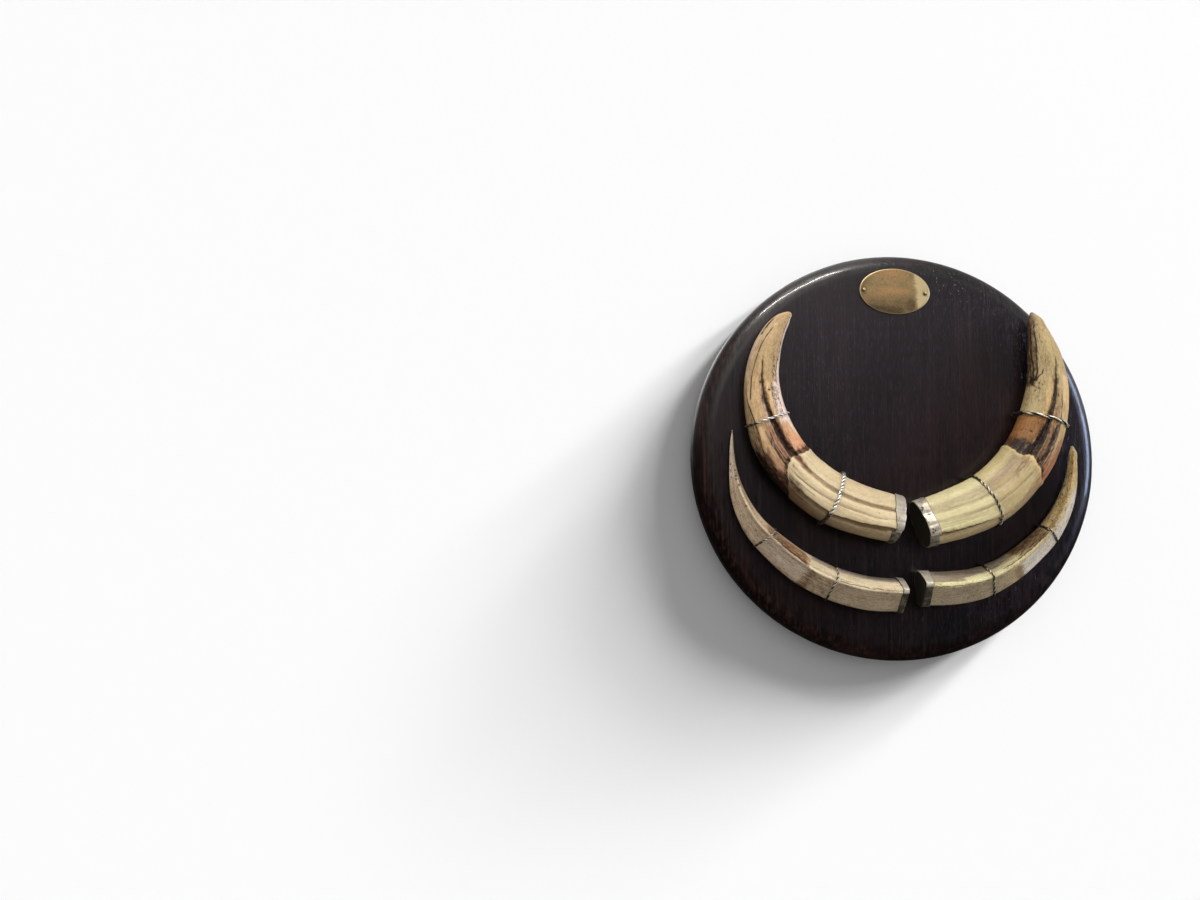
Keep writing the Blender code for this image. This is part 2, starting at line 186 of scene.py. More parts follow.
class Tusk:
    """One tusk: the CAD model's curve and section, with the surface's relief as a lift in metres."""

    def __init__(self, name):
        self.name = name
        self.row = name.split("_")[0]
        self.number = list(STATIONS).index(name)
        self.turn = 1 if "left" in name else -1
        self.stations = np.array(STATIONS[name], float)
        self.knots = walked(self.stations)
        self.length = float(self.knots[-1])
        round_all = np.radians(np.arange(0, 360, 2))
        reach = self.skin(round_all) * np.cos(round_all)
        self.shift = (reach.max() + reach.min()) / 2
        self.scale = 2 / (reach.max() - reach.min())
        self.back = float(self.skin(np.radians(270.0)) * self.scale)

    def skin(self, angle):
        """Distance from the middle to the skin of the rounded polygon, over half the width."""
        total = 0.0
        for direction, distance in FLATS[self.row]:
            facing = np.maximum(0, np.cos(angle - math.radians(direction)))
            total = total + (facing / distance) ** SHARPNESS[self.row]
        return total ** (-1 / SHARPNESS[self.row])

    def station(self, column, along):
        return hermite(self.knots, self.stations[:, column], along)

    def half_width(self, along):
        """Half the width, with a blunt rounded tip."""
        half = np.maximum(THINNEST, self.station(2, along))
        blunt = TIP_ROUND[self.name]
        dome = np.sqrt(np.maximum(0, 2 * blunt * along - along ** 2 * 0.5))
        return np.hypot(half, dome * (1 - smooth(along, 0, max(0.003, 4.5 * blunt))))

    def middle(self, along):
        """The section's middle and its outward direction, as arrays of points."""
        x, z = (self.station(k, along) for k in (0, 1))
        dx, dz = self.station(0, along + LOOK_AHEAD) - x, self.station(1, along + LOOK_AHEAD) - z
        size = np.hypot(dx, dz)
        share = along / self.length
        lift = TIP_LIFT[self.row] * np.maximum(0, 1 - share / LIFT_REACH[self.row]) ** 2
        lift = lift + (GAP + CAP_WALL) * np.interp(share, CAP_RISE, (0.0, 1.0))
        height = BOARD_THICKNESS + GAP + lift + self.back * self.station(2, along)
        outward = np.stack([dz / size * self.turn, 0 * dx, -dx / size * self.turn], -1)
        return np.stack([x, -height, z], -1), outward

    def section(self, along, degrees, lift=0.0):
        """A section's points in its own plane: across towards the outside of the curve, and forward."""
        half = self.half_width(along)
        angle = np.radians(degrees)
        radius = self.skin(angle) * self.scale * half + lift
        return radius * np.cos(angle) - self.shift * self.scale * half, radius * np.sin(angle)

    def surface(self, along, degrees, lift=0.0):
        """Points of the skin for arrays of places that broadcast together."""
        across, forward = self.section(along, degrees, lift)
        middle, outward = self.middle(along)
        points = middle + outward * across[..., None]
        points[..., 1] -= forward
        return points

    def apart(self, share, degrees, line):
        """Distance round the skin from a line of (share, direction) that runs along the tusk."""
        places, turns = columns(line)[:2]
        half = np.maximum(0.001, self.station(2, share * self.length))
        return np.radians(degrees - np.interp(share, places, turns)) * half

    def line(self, share, degrees, line, width, fade=0.010):
        """1 on a line along the tusk, falling off to both sides and softly at its ends."""
        places = columns(line)[0]
        ends = smooth(share, places[0], places[0] + fade) * (1 - smooth(share, places[-1] - fade, places[-1]))
        return bell(self.apart(share, degrees, line), width) * ends


# ---- what is on each tusk

# Gum lines: (direction, share of the length) where the bare tooth goes under the pale sleeve.
GUM = {
    "upper_left": (
        (-90, 0.69), (-20, 0.652), (5, 0.644), (15, 0.636), (25, 0.625), (35, 0.612), (42, 0.606), (50, 0.593),
        (58, 0.58), (66, 0.571), (76, 0.564), (82, 0.559), (90, 0.553), (100, 0.556), (110, 0.564), (125, 0.569),
        (141, 0.574), (160, 0.578), (200, 0.583), (270, 0.6)),
    "upper_right": (
        (-90, 0.6), (0, 0.574), (20, 0.58), (40, 0.586), (50, 0.583), (60, 0.575), (70, 0.569), (80, 0.564),
        (90, 0.556), (100, 0.548), (105, 0.543), (115, 0.545), (120, 0.551), (130, 0.563), (141, 0.564),
        (150, 0.559), (160, 0.556), (180, 0.548), (200, 0.546), (270, 0.56)),
}
# Hollows along a tusk: (share, direction, depth in mm, half width in mm).
GROOVES = {
    "upper_left": (
        ((0.205, 71, 0, 0.5), (0.238, 76, 0.3, 0.6), (0.288, 80, 0.8, 1), (0.33, 85, 1.3, 1.6),
            (0.404, 93, 1.9, 2.2), (0.458, 97, 2.2, 2.6), (0.523, 99, 2.2, 2.8), (0.554, 103, 1.8, 3),
            (0.6, 104, 1.3, 3.1), (0.7, 104, 1.5, 3.2), (0.755, 105, 1.6, 3), (0.8, 107, 1.5, 3),
            (0.85, 109, 1.5, 3), (0.9, 111, 1.5, 2.9), (0.96, 115, 1.5, 2.8), (1.02, 117, 1.5, 2.8)),
        ((0.57, 68, 0, 1), (0.622, 68, 0.6, 1.4), (0.68, 71, 0.7, 1.5), (0.744, 75, 0.7, 1.6), (0.84, 77, 0.5, 1.5),
            (0.904, 77, 0.4, 1.5), (0.952, 82, 0.4, 1.4), (1.02, 83, 0.3, 1.4)),
        ((0.65, 136, 0, 1.5), (0.72, 138, 0.35, 1.8), (0.86, 140, 0.35, 1.8), (0.96, 142, 0.2, 1.8)),
    ),
    "upper_right": (
        ((0.165, 70, 0, 0.5), (0.2, 82, 0.3, 0.8), (0.235, 91, 0.7, 1), (0.277, 94, 1.2, 1.4), (0.33, 99, 1.8, 1.9),
            (0.408, 102, 2.1, 2.1), (0.458, 107, 2.2, 2.4), (0.523, 113, 1.7, 2.8), (0.57, 110, 1, 3.2),
            (0.615, 112, 1, 3.2), (0.68, 115, 1.1, 3.2), (0.737, 117, 1.2, 3.2), (0.83, 117, 1.3, 3),
            (0.904, 121, 1.3, 2.8), (0.968, 126, 1.3, 2.6), (1.02, 127, 1.3, 2.6)),
        ((0.56, 78, 0, 1.2), (0.6, 79, 0.5, 1.5), (0.663, 83, 0.6, 1.7), (0.71, 86, 0.6, 1.7), (0.776, 84, 0.7, 1.7),
            (0.84, 86, 0.7, 1.7), (0.904, 90, 0.6, 1.7), (1.02, 88, 0.5, 1.7)),
        ((0.78, 68, 0, 1), (0.84, 71, 0.25, 1), (0.9, 71, 0.25, 1), (1.02, 71, 0.2, 1)),
        ((0.555, 150, 0, 1.5), (0.61, 150, 0.45, 2), (0.731, 153, 0.45, 2.2), (0.87, 146, 0.45, 2.2),
            (1.02, 150, 0.4, 2.2)),
    ),
    "lower_left": (),
    "lower_right": (),
}
# The ledge along a sleeve's outer lobe: (share, direction).
SHELF = {
    "upper_left": (
        (0.6, 50), (0.631, 48), (0.7, 48), (0.75, 48), (0.776, 46), (0.808, 51), (0.872, 53), (0.904, 57),
        (0.936, 60), (0.968, 60), (1.02, 60)),
    "upper_right": (
        (0.6, 53), (0.66, 51), (0.7, 48), (0.734, 47), (0.776, 50), (0.808, 54), (0.872, 56), (0.936, 54),
        (0.96, 56), (1.02, 57)),
}
# The edge between the front and the outer facet of the bare tooth.
FACET = {
    "upper_left": (
        (0.25, 6), (0.3, 12), (0.342, 17), (0.369, 26), (0.388, 30), (0.412, 34), (0.431, 37), (0.458, 37),
        (0.485, 33), (0.512, 26), (0.531, 20), (0.56, 10), (0.6, 2)),
    "upper_right": ((0.1, 20), (0.4, 16), (0.6, 10)),
}
# The long ridge of a lower tusk.
RIDGE = {
    "lower_left": (
        (0, 116), (0.2, 112), (0.26, 107), (0.36, 107), (0.42, 109), (0.49, 107), (0.6, 105), (0.65, 101),
        (0.71, 102), (0.78, 103), (0.84, 104), (0.9, 107), (0.97, 106), (1.02, 106)),
    "lower_right": (
        (0, 112), (0.3, 112), (0.4, 116), (0.46, 114), (0.52, 113), (0.6, 108), (0.7, 110), (0.78, 108), (0.85, 105),
        (0.97, 107), (1.02, 107)),
}
# Cracks and dark lines, some of them painted shade in the sleeves' grooves and along their ledges: (half width in mm,
# depth in mm, wander in mm, line).
CRACKS_AND_SHADE_LINES = {
    "upper_left": (
        (0.55, 0.45, 0.22, ((0.088, 66), (0.1, 63), (0.115, 58), (0.131, 53), (0.158, 47), (0.2, 44), (0.215, 42),
            (0.25, 36), (0.269, 33), (0.315, 31), (0.342, 29))),
        (0.5, 0.25, 0.4, ((0.012, 139), (0.03, 143), (0.062, 150), (0.092, 153), (0.138, 158), (0.19, 160))),
        (0.5, 0.25, 0.5, ((0.185, 159), (0.215, 150), (0.238, 150), (0.29, 146))),
        (1.1, 0.15, 0.4, ((0.058, 20), (0.09, 20), (0.115, 19), (0.132, 17))),
        (0.5, 0.4, 0.2, ((0.205, 71), (0.215, 73), (0.238, 76), (0.269, 76), (0.3, 79))),
        (0.5, 0.25, 0.25, ((0.285, 78), (0.319, 78), (0.35, 80), (0.385, 83), (0.423, 85), (0.458, 87), (0.492, 89),
            (0.523, 90), (0.556, 93))),
        (0.5, 0.2, 0.3, ((0.44, 57), (0.485, 62), (0.523, 64), (0.566, 66))),
        (0.42, 0.2, 0.3, ((0.448, 70), (0.5, 70), (0.531, 73), (0.562, 76))),
        (0.38, 0.15, 0.4, ((0.462, 65), (0.51, 67), (0.56, 71))),
        (0.5, 0.25, 0.2, ((0.315, 14), (0.342, 17), (0.369, 26), (0.388, 30), (0.412, 34), (0.458, 36))),
        (0.28, 0.12, 0.2, ((0.62, 60), (0.7, 61))),
        # The next three lines run in the sleeve's grooves and along its ledge: painted shade in the creases.
        (0.28, 0.15, 0.25, ((0.6, 67), (0.68, 71), (0.744, 75), (0.84, 77), (0.904, 78), (0.96, 82))),
        (0.45, 0.2, 0.35, ((0.79, 48), (0.808, 51), (0.872, 53), (0.904, 57), (0.936, 60), (0.975, 60))),
        (0.24, 0.05, 0.2, ((0.59, 110), (0.7, 111), (0.76, 113), (0.85, 114), (0.96, 121))),
    ),
    "upper_right": (
        (0.65, 0.35, 0.35, ((0.03, 128), (0.05, 139), (0.062, 147), (0.108, 148), (0.138, 151), (0.177, 154),
            (0.215, 155), (0.235, 157), (0.256, 162))),
        (0.8, 0.35, 0.45, ((0.055, 169), (0.092, 172), (0.138, 175), (0.177, 172), (0.2, 168), (0.223, 169),
            (0.254, 169), (0.272, 174))),
        (0.6, 0.35, 0.3, ((0.21, 133), (0.231, 139), (0.238, 149), (0.258, 160))),
        (0.5, 0.25, 0.3, ((0.262, 172), (0.277, 165), (0.288, 153), (0.297, 141))),
        (0.6, 0.2, 0.4, ((0.078, 120), (0.09, 124), (0.108, 128))),
        (0.45, 0.35, 0.2, ((0.175, 74), (0.2, 81), (0.215, 85), (0.235, 89), (0.27, 91), (0.31, 92))),
        (0.5, 0.25, 0.35, ((0.295, 91), (0.35, 94), (0.408, 96), (0.485, 97), (0.523, 99))),
        (0.45, 0.2, 0.5, ((0.3, 71), (0.358, 67), (0.425, 64), (0.5, 63), (0.56, 68))),
        (0.45, 0.2, 0.2, ((0.455, 143), (0.462, 141), (0.47, 137))),
        # These three lines run in the sleeve's grooves and along its ledge: painted shade in the creases.
        (0.26, 0.1, 0.25, ((0.68, 117), (0.737, 119), (0.83, 119), (0.904, 123), (0.975, 128))),
        (0.26, 0.15, 0.25, ((0.59, 78), (0.663, 82), (0.71, 85), (0.776, 83), (0.84, 85), (0.96, 88))),
        (0.55, 0.25, 0.35, ((0.8, 53), (0.872, 55), (0.936, 53), (0.96, 55), (0.99, 55))),
    ),
    "lower_left": (
        (0.5, 0.3, 0.3, ((0.44, 112), (0.487, 110), (0.523, 109), (0.557, 108), (0.606, 108))),
        (0.3, 0.1, 0.4, ((0.7, 106), (0.8, 107), (0.9, 110), (0.97, 110))),
    ),
    "lower_right": (
        (0.4, 0.15, 0.3, ((0.395, 118), (0.44, 121), (0.52, 121), (0.6, 120), (0.66, 120))),
        (0.3, 0.1, 0.4, ((0.72, 104), (0.8, 102), (0.9, 102), (0.97, 102))),
    ),
}
# Single pits: (share, direction, half length in mm, half width in mm).
PITS = {
    "upper_left": (
        (0.312, 105, 0.7, 1.7), (0.285, 71, 0.9, 1.1), (0.223, 137, 1.1, 1.1), (0.254, 136, 1.1, 0.7),
        (0.277, 141, 0.9, 0.6), (0.194, 157, 1, 0.8), (0.262, 131, 0.8, 0.5), (0.29, 121, 0.7, 0.6)),
    "upper_right": (
        (0.262, 176, 1.6, 1.3), (0.254, 163, 1.3, 1), (0.288, 148, 0.8, 0.8), (0.461, 141, 0.9, 1.3),
        (0.298, 158, 0.7, 0.6), (0.268, 148, 0.7, 0.7)),
    "lower_left": (
        (0.173, 100, 0.6, 1.3), (0.185, 96, 0.5, 1.5), (0.291, 98, 0.6, 0.9), (0.31, 137, 0.5, 1.2),
        (0.373, 132, 0.5, 1.2), (0.151, 104, 0.8, 0.7), (0.208, 108, 0.8, 0.6)),
    "lower_right": ((0.782, 58, 0.9, 0.6), (0.34, 150, 0.8, 0.8), (0.115, 135, 0.9, 0.7), (0.505, 118, 0.9, 0.6)),
}
# Fields of small pits: (count, half width in mm, times longer, first share, last share, lowest, highest direction).
PITTED = {
    "upper_left": (
        (150, 0.55, 1.7, 0.3, 0.412, 116, 150), (40, 0.5, 2, 0.18, 0.31, 124, 156),
        (26, 0.4, 1.5, 0.03, 0.19, 140, 162), (24, 0.35, 1.5, 0.59, 0.96, 60, 160)),
    "upper_right": (
        (9, 0.45, 1.8, 0.26, 0.39, 118, 188), (14, 0.45, 1.6, 0.03, 0.26, 110, 185),
        (9, 0.5, 1.5, 0.41, 0.54, 120, 190), (30, 0.35, 1.5, 0.58, 0.96, 60, 170)),
    "lower_left": (
        (44, 0.42, 1.2, 0.12, 0.44, 92, 160), (70, 0.36, 1.8, 0.1, 0.62, 15, 100),
        (70, 0.85, 2.2, 0.41, 0.6, 112, 168), (50, 0.34, 2.6, 0.66, 0.96, 15, 100)),
    "lower_right": (
        (130, 0.48, 1.5, 0.02, 0.38, 100, 190), (60, 0.36, 1.8, 0.6, 0.96, 10, 100),
        (100, 0.58, 2.2, 0.4, 0.56, 120, 190), (30, 0.4, 1.6, 0.05, 0.55, 20, 95)),
}
# Stained areas, and areas of painted shade and of painted highlight where noted: (where, stain, strength or its two
# ends, softness in mm, raggedness in mm, rows), each row being (share, lowest direction, highest direction). Those on
# the tooth stop at the gum line; those on the sleeve begin there. The order counts, because each area's number seeds
# its fraying.
AREAS = {
    "upper_left": (
        ("tooth", "pale", 0.9, 2.4, 1.3, ((-0.02, 140, 240), (0.05, 149, 240), (0.1, 153, 240), (0.2, 157, 240),
            (0.26, 143, 240), (0.3, 128, 240), (0.35, 118, 240), (0.434, 116, 240))),
        ("tooth", "pale", 0.75, 1.6, 1.2, ((0.412, 150, 170), (0.44, 152, 170), (0.47, 156, 172), (0.5, 164, 176))),
        ("tooth", "pale", 0.35, 1.2, 0.9, ((0.3, 66, 76), (0.34, 65, 78), (0.4, 66, 83), (0.44, 75, 85))),
        ("tooth", "cream", 0.9, 1.6, 1.2, ((0.28, 90, 108), (0.33, 96, 114), (0.4, 103, 117), (0.42, 106, 117))),
        ("tooth", "cream", 0.75, 1.8, 1.2, ((0.26, 36, 62), (0.3, 33, 66), (0.4, 37, 65), (0.46, 41, 57),
            (0.53, 40, 58))),
        ("tooth", "plum", 0.32, 1.4, 1, ((0.285, 66, 76), (0.34, 66, 78), (0.4, 67, 80))),
        ("tooth", "pale", 0.22, 2, 1.5, ((0.08, -60, 30), (0.27, -60, 20))),
        ("tooth", "cream", 0.05, 3, 1.5, ((-0.02, -30, 80), (0.06, -30, 76), (0.15, -20, 52), (0.25, 0, 34))),
        ("tooth", "warm", (0.25, 1.3), 2.2, 1.2, ((0.424, 112, 152), (0.45, 113, 154), (0.5, 114, 170),
            (0.54, 116, 168), (0.566, 120, 160))),
        ("tooth", "warm", (0.1, 0.9), 1.8, 1.8, ((0.43, 40, 52), (0.5, 36, 56), (0.55, 30, 60), (0.59, 34, 56),
            (0.615, 36, 50))),
        ("tooth", "plum", 0.85, 1.2, 1.3, ((0.425, 66, 84), (0.445, 60, 86), (0.48, 60, 89), (0.52, 62, 90),
            (0.572, 63, 92))),
        ("tooth", "brown", 0.55, 1.5, 1.2, ((0.42, 80, 92), (0.48, 80, 94), (0.56, 82, 98))),
        # The brown on the outer facet is partly stain, partly painted shade.
        ("tooth", "brown", (0.48, 1.2), 0.9, 0.6, ((0.404, -60, 31), (0.431, -60, 35), (0.458, -60, 35),
            (0.485, -60, 31), (0.512, -60, 26), (0.56, -60, 20), (0.66, -60, 10))),
        ("tooth", "brown", 0.95, 2.2, 2.6, ((0.505, 20, 42), (0.53, 20, 43), (0.55, 20, 36), (0.575, 24, 44),
            (0.6, 18, 42), (0.64, 0, 24))),
        ("tooth", "dark", 0.92, 2.4, 2.4, ((0.49, -60, 10), (0.52, -60, 24), (0.56, -60, 32), (0.59, -60, 28),
            (0.62, -60, 22), (0.66, -60, 8))),
        ("tooth", "rust", 0.75, 1.6, 1.2, ((0.4, 98, 112), (0.43, 102, 118), (0.48, 106, 121), (0.54, 108, 124))),
        ("tooth", "dark", 1, 1.7, 1.2, ((0.268, 76.5, 81), (0.288, 77.5, 83), (0.33, 79, 90), (0.369, 82, 94),
            (0.404, 86, 100), (0.43, 87, 106), (0.458, 87, 109), (0.492, 88, 111), (0.523, 89, 112),
            (0.554, 91, 116), (0.572, 94, 120))),
        ("sleeve", "plum", (1, 0.7), 1.4, 1.2, ((0.55, 96, 118), (0.58, 97, 118), (0.6, 98, 114), (0.64, 100, 108))),
        ("sleeve", "plum", (0.45, 0.15), 1.6, 1.8, ((0.575, 72, 86), (0.6, 70, 86), (0.64, 74, 84))),
        ("sleeve", "olive", 0.18, 3, 2, ((0.575, 118, 190), (1.02, 124, 190))),
        ("sleeve", "brown", (1, 0.25), 1.8, 1.4, ((0.552, 97, 116), (0.585, 98, 116), (0.625, 100, 110))),
        # The olive in the sleeve's main groove is partly stain, partly painted shade in the hollow.
        ("sleeve", "olive", (0.6, 0.95), 1.7, 0.8, ((0.6, 97, 112), (0.7, 98, 112), (0.8, 101, 115), (0.9, 105, 118),
            (1.02, 110, 123))),
        # The olive along the ledge is partly stain, partly painted shade under the ledge.
        ("sleeve", "olive", (0.8, 1.1), 1, 1.3, ((0.6, 30, 52), (0.631, 27, 47), (0.7, 30, 47), (0.75, 32, 47),
            (0.776, 30, 45), (0.808, 36, 50), (0.872, 38, 52), (0.904, 42, 56), (0.968, 46, 59), (1.02, 46, 59))),
        ("sleeve", "olive", (1.05, 0.45), 1.6, 1.4, ((0.6, -70, 34), (0.7, -70, 36), (0.776, -70, 38),
            (0.872, -70, 44), (1.02, -70, 50))),
        ("tooth", "dark", (0.15, 0.95), 1.2, 1.2, ((0.203, 70.5, 72.5), (0.238, 75, 77.5), (0.276, 77, 82))),
        # These two browns on the facet and just under its edge are partly stain, partly painted shade.
        ("tooth", "brown", (0.1, 0.42), 0.9, 0.6, ((0.29, -60, 9), (0.342, -60, 15), (0.369, -60, 24),
            (0.388, -60, 28), (0.412, -60, 32))),
        ("tooth", "brown", (0.6, 0.7), 1, 1, ((0.29, 7, 11), (0.342, 13, 17), (0.369, 22, 26), (0.388, 26, 30),
            (0.412, 30, 34))),
    ),
    "upper_right": (
        ("tooth", "brown", (0.95, 0.7), 3.2, 2.4, ((-0.02, 120, 250), (0.03, 124, 250), (0.06, 136, 250),
            (0.1, 142, 250), (0.15, 149, 250), (0.2, 155, 250), (0.24, 160, 250), (0.28, 176, 250))),
        ("tooth", "dark", 0.5, 2.6, 2.4, ((-0.02, 172, 260), (0.1, 172, 260), (0.18, 178, 260), (0.26, 186, 260))),
        ("tooth", "dark", 0.85, 1, 1.4, ((0.236, 158, 182), (0.254, 156, 184), (0.274, 166, 186))),
        ("tooth", "cream", (0.95, 0.34), 1.8, 1.5, ((0.24, -30, 60), (0.3, -30, 64), (0.36, -30, 64), (0.425, 0, 62),
            (0.47, 20, 60))),
        ("tooth", "cream", 0.06, 3, 2, ((0.02, 30, 108), (0.1, 30, 112), (0.2, 40, 78), (0.26, 40, 70))),
        ("tooth", "cream", 0.55, 1.6, 1.5, ((0.25, 96, 116), (0.3, 106, 124), (0.39, 110, 126))),
        ("tooth", "warm", 1, 1.4, 1.4, ((0.396, 111, 230), (0.42, 113, 230), (0.46, 119, 230), (0.5, 124, 230),
            (0.545, 150, 230))),
        ("tooth", "warm", 0.8, 1.2, 1.4, ((0.385, 66, 92), (0.42, 80, 96), (0.45, 84, 96))),
        ("tooth", "plum", (0.35, 1.1), 1.6, 1.6, ((0.3, 72, 90), (0.42, 70, 97), (0.5, 74, 100), (0.562, 76, 104))),
        ("tooth", "rust", (0.6, 1), 2.6, 3, ((0.43, -60, 26), (0.46, -60, 56), (0.49, -60, 64), (0.53, -60, 68),
            (0.59, -60, 74))),
        ("tooth", "dark", (0.7, 1), 1.8, 2, ((0.404, 66, 70), (0.42, 68, 80), (0.45, 68, 84), (0.5, 68, 83),
            (0.52, 70, 82), (0.556, 74, 88))),
        ("tooth", "dark", 0.86, 3.6, 1.6, ((0.5, 100, 172), (0.52, 98, 170), (0.54, 98, 172), (0.57, 96, 170))),
        ("tooth", "brown", 0.9, 1.6, 2.4, ((0.508, 150, 235), (0.53, 150, 235), (0.56, 150, 235))),
        ("tooth", "dark", 1, 1.8, 1.3, ((0.258, 90, 95), (0.277, 91.5, 95.5), (0.304, 93, 99), (0.331, 94.5, 101),
            (0.369, 96.5, 105), (0.408, 96, 109), (0.431, 96, 114), (0.458, 96, 118), (0.496, 97, 122),
            (0.515, 98, 132), (0.555, 100, 140))),
        ("sleeve", "plum", (0.75, 0.25), 1.8, 2, ((0.56, 98, 126), (0.6, 100, 124), (0.64, 104, 120))),
        ("sleeve", "olive", 0.25, 2.2, 2.2, ((0.57, 52, 150), (0.64, 50, 140), (0.72, 50, 130), (0.77, 52, 76))),
        ("sleeve", "rust", (0.45, 0.1), 2.4, 2, ((0.575, 30, 62), (0.64, 34, 60), (0.74, 34, 54))),
        ("sleeve", "pale", 0.75, 1.6, 1.4, ((0.75, 56, 190), (0.85, 56, 190), (1.02, 57, 190))),
        # These three olive bands lie in the sleeve's grooves: partly stain, partly painted shade in the hollows.
        ("sleeve", "olive", (0.75, 0.35), 3, 1.5, ((0.575, 122, 152), (0.74, 124, 148), (1.02, 128, 148))),
        ("sleeve", "olive", (0.5, 0.4), 2.2, 1.2, ((0.6, 76, 88), (0.71, 78, 90), (0.84, 80, 91), (1.02, 84, 94))),
        ("sleeve", "olive", (0.7, 0.55), 2.4, 1, ((0.6, 106, 114), (0.7, 110, 119), (0.83, 112, 121),
            (0.904, 115, 125), (1.02, 121, 131))),
        # The dark and the brown under the ledge are painted shade, with some stain.
        ("sleeve", "dark", (0.2, 0.95), 0.9, 0.6, ((0.78, 46, 51), (0.872, 47.5, 57), (0.904, 47.5, 58),
            (0.96, 48.5, 61), (1.02, 50, 62))),
        ("sleeve", "brown", 1, 0.9, 0.8, ((0.78, 46, 52), (0.872, 48, 56), (0.904, 48, 57), (0.96, 49, 60),
            (1.02, 50, 61))),
        ("sleeve", "olive", (0.85, 0.3), 1.2, 1.2, ((0.59, -70, 36), (0.7, -70, 42), (0.776, -70, 48),
            (0.872, -70, 53), (1.02, -70, 55))),
        ("tooth", "brown", (0.15, 0.78), 2, 1.8, ((0.47, 78, 98), (0.52, 80, 100), (0.57, 80, 106))),
        ("tooth", "dark", (0.15, 0.95), 1.1, 1.3, ((0.175, 73, 75.5), (0.2, 80, 83.5), (0.235, 88, 92),
            (0.266, 90.5, 95.3))),
    ),
    "lower_left": (
        ("all", "cream", 0.3, 2.2, 1.8, ((0.3, 108, 168), (0.36, 108, 170), (0.44, 112, 176))),
        # These narrow cream lines run on the ridge's crest: partly pale wear, partly a painted highlight.
        ("all", "cream", 0.55, 0.5, 0.4, ((0.18, 103, 112), (0.3, 103, 112), (0.43, 104, 112))),
        ("all", "cream", 1, 0.7, 0.5, ((0.43, 101, 110), (0.52, 100, 107), (0.59, 99, 107))),
        ("all", "cream", 1, 0.8, 0.5, ((0.59, 99.5, 110), (0.7, 99.5, 112), (0.85, 101, 114), (1.02, 102, 113))),
        ("all", "cream", (0.4, 0.66), 1.6, 1, ((0.585, 104, 200), (0.64, 100, 190), (0.74, 101, 170),
            (0.85, 103, 168), (1.02, 104, 168))),
        ("all", "plum", 1, 2.4, 1.4, ((0.61, 150, 240), (0.72, 152, 240), (0.85, 158, 240), (1.02, 162, 240))),
        ("all", "warm", 1, 0.9, 1.4, ((0.4, 122, 166), (0.44, 112, 172), (0.5, 109, 176), (0.56, 108, 174),
            (0.59, 108, 160), (0.608, 108, 130))),
        ("all", "rust", 0.85, 1.8, 2.4, ((0.48, 108, 150), (0.52, 108, 168), (0.56, 108, 172), (0.59, 108, 160))),
        ("all", "brown", 0.4, 1.6, 1.6, ((0.405, 118, 168), (0.44, 110, 172), (0.52, 108, 174), (0.6, 108, 150))),
        ("all", "dark", 0.62, 0.6, 1.2, ((0.43, 111, 115), (0.52, 108, 113), (0.57, 106, 112), (0.603, 105, 110))),
        ("all", "brown", 0.8, 1.8, 1.6, ((0.618, -10, 92), (0.634, -14, 98), (0.652, -10, 90))),
        ("all", "brown", 0.45, 2.4, 2, ((0.636, -10, 90), (0.68, -10, 90), (0.712, -10, 84))),
        ("all", "olive", 0.75, 3, 2, ((0.7, -60, 96), (0.8, -60, 98), (1.02, -60, 100))),
        ("all", "pale", 0.38, 2.4, 2, ((0.44, 20, 96), (0.52, 20, 98), (0.606, 20, 96))),
        ("all", "olive", (0.65, 0), 2.5, 2, ((0.02, 112, 200), (0.24, 112, 200))),
        ("all", "pale", (1.2, 0.3), 3, 2, ((0.02, -40, 98), (0.1, -40, 100), (0.18, -30, 96))),
    ),
    "lower_right": (
        ("all", "pale", (0.72, 0.86), 3.6, 2.2, ((0.18, -60, 70), (0.24, -60, 92), (0.37, -60, 100),
            (0.48, -60, 100), (0.575, -60, 94))),
        ("all", "olive", (0.4, 0), 2.5, 2, ((0.01, -60, 98), (0.22, -60, 98))),
        ("all", "warm", 0.7, 1.8, 2, ((0.03, 108, 170), (0.07, 104, 172), (0.13, 108, 160), (0.18, 118, 158))),
        ("all", "warm", 0.45, 1.8, 2.4, ((0.2, 118, 180), (0.3, 120, 200), (0.38, 116, 200))),
        ("all", "cream", 0.6, 1.8, 1.6, ((0.53, 112, 150), (0.62, 110, 150), (0.7, 108, 140))),
        # This narrow cream line runs on the ridge's crest: partly pale wear, partly a painted highlight.
        ("all", "cream", (0.1, 1.42), 0.9, 0.8, ((0.43, 106, 119), (0.52, 103, 119), (0.62, 103, 122),
            (0.7, 102, 124), (0.78, 100, 122), (0.85, 98, 116), (0.94, 99, 116), (1.02, 100, 116))),
        ("all", "cream", 0.75, 1.8, 1.2, ((0.7, 110, 150), (0.77, 110, 148), (0.83, 108, 130))),
        ("all", "plum", 0.85, 1.8, 1.6, ((0.6, 152, 240), (0.7, 150, 240), (0.8, 140, 240), (0.9, 122, 240),
            (1.02, 122, 240))),
        ("all", "brown", 0.8, 1.6, 2.2, ((0.392, 124, 240), (0.44, 122, 240), (0.5, 126, 240), (0.53, 140, 240),
            (0.575, 165, 240))),
        ("all", "rust", 0.35, 2, 2, ((0.48, 126, 180), (0.56, 132, 190), (0.62, 150, 200))),
        ("all", "olive", 0.85, 2.2, 1.8, ((0.572, -30, 90), (0.59, -30, 94), (0.616, -30, 84))),
        ("all", "olive", 0.3, 3, 2, ((0.62, -60, 98), (0.8, -60, 98), (1.02, -60, 98))),
        ("all", "plum", 0.45, 3, 2, ((0.72, -60, 96), (0.86, -60, 98), (1.02, -60, 98))),
    ),
}
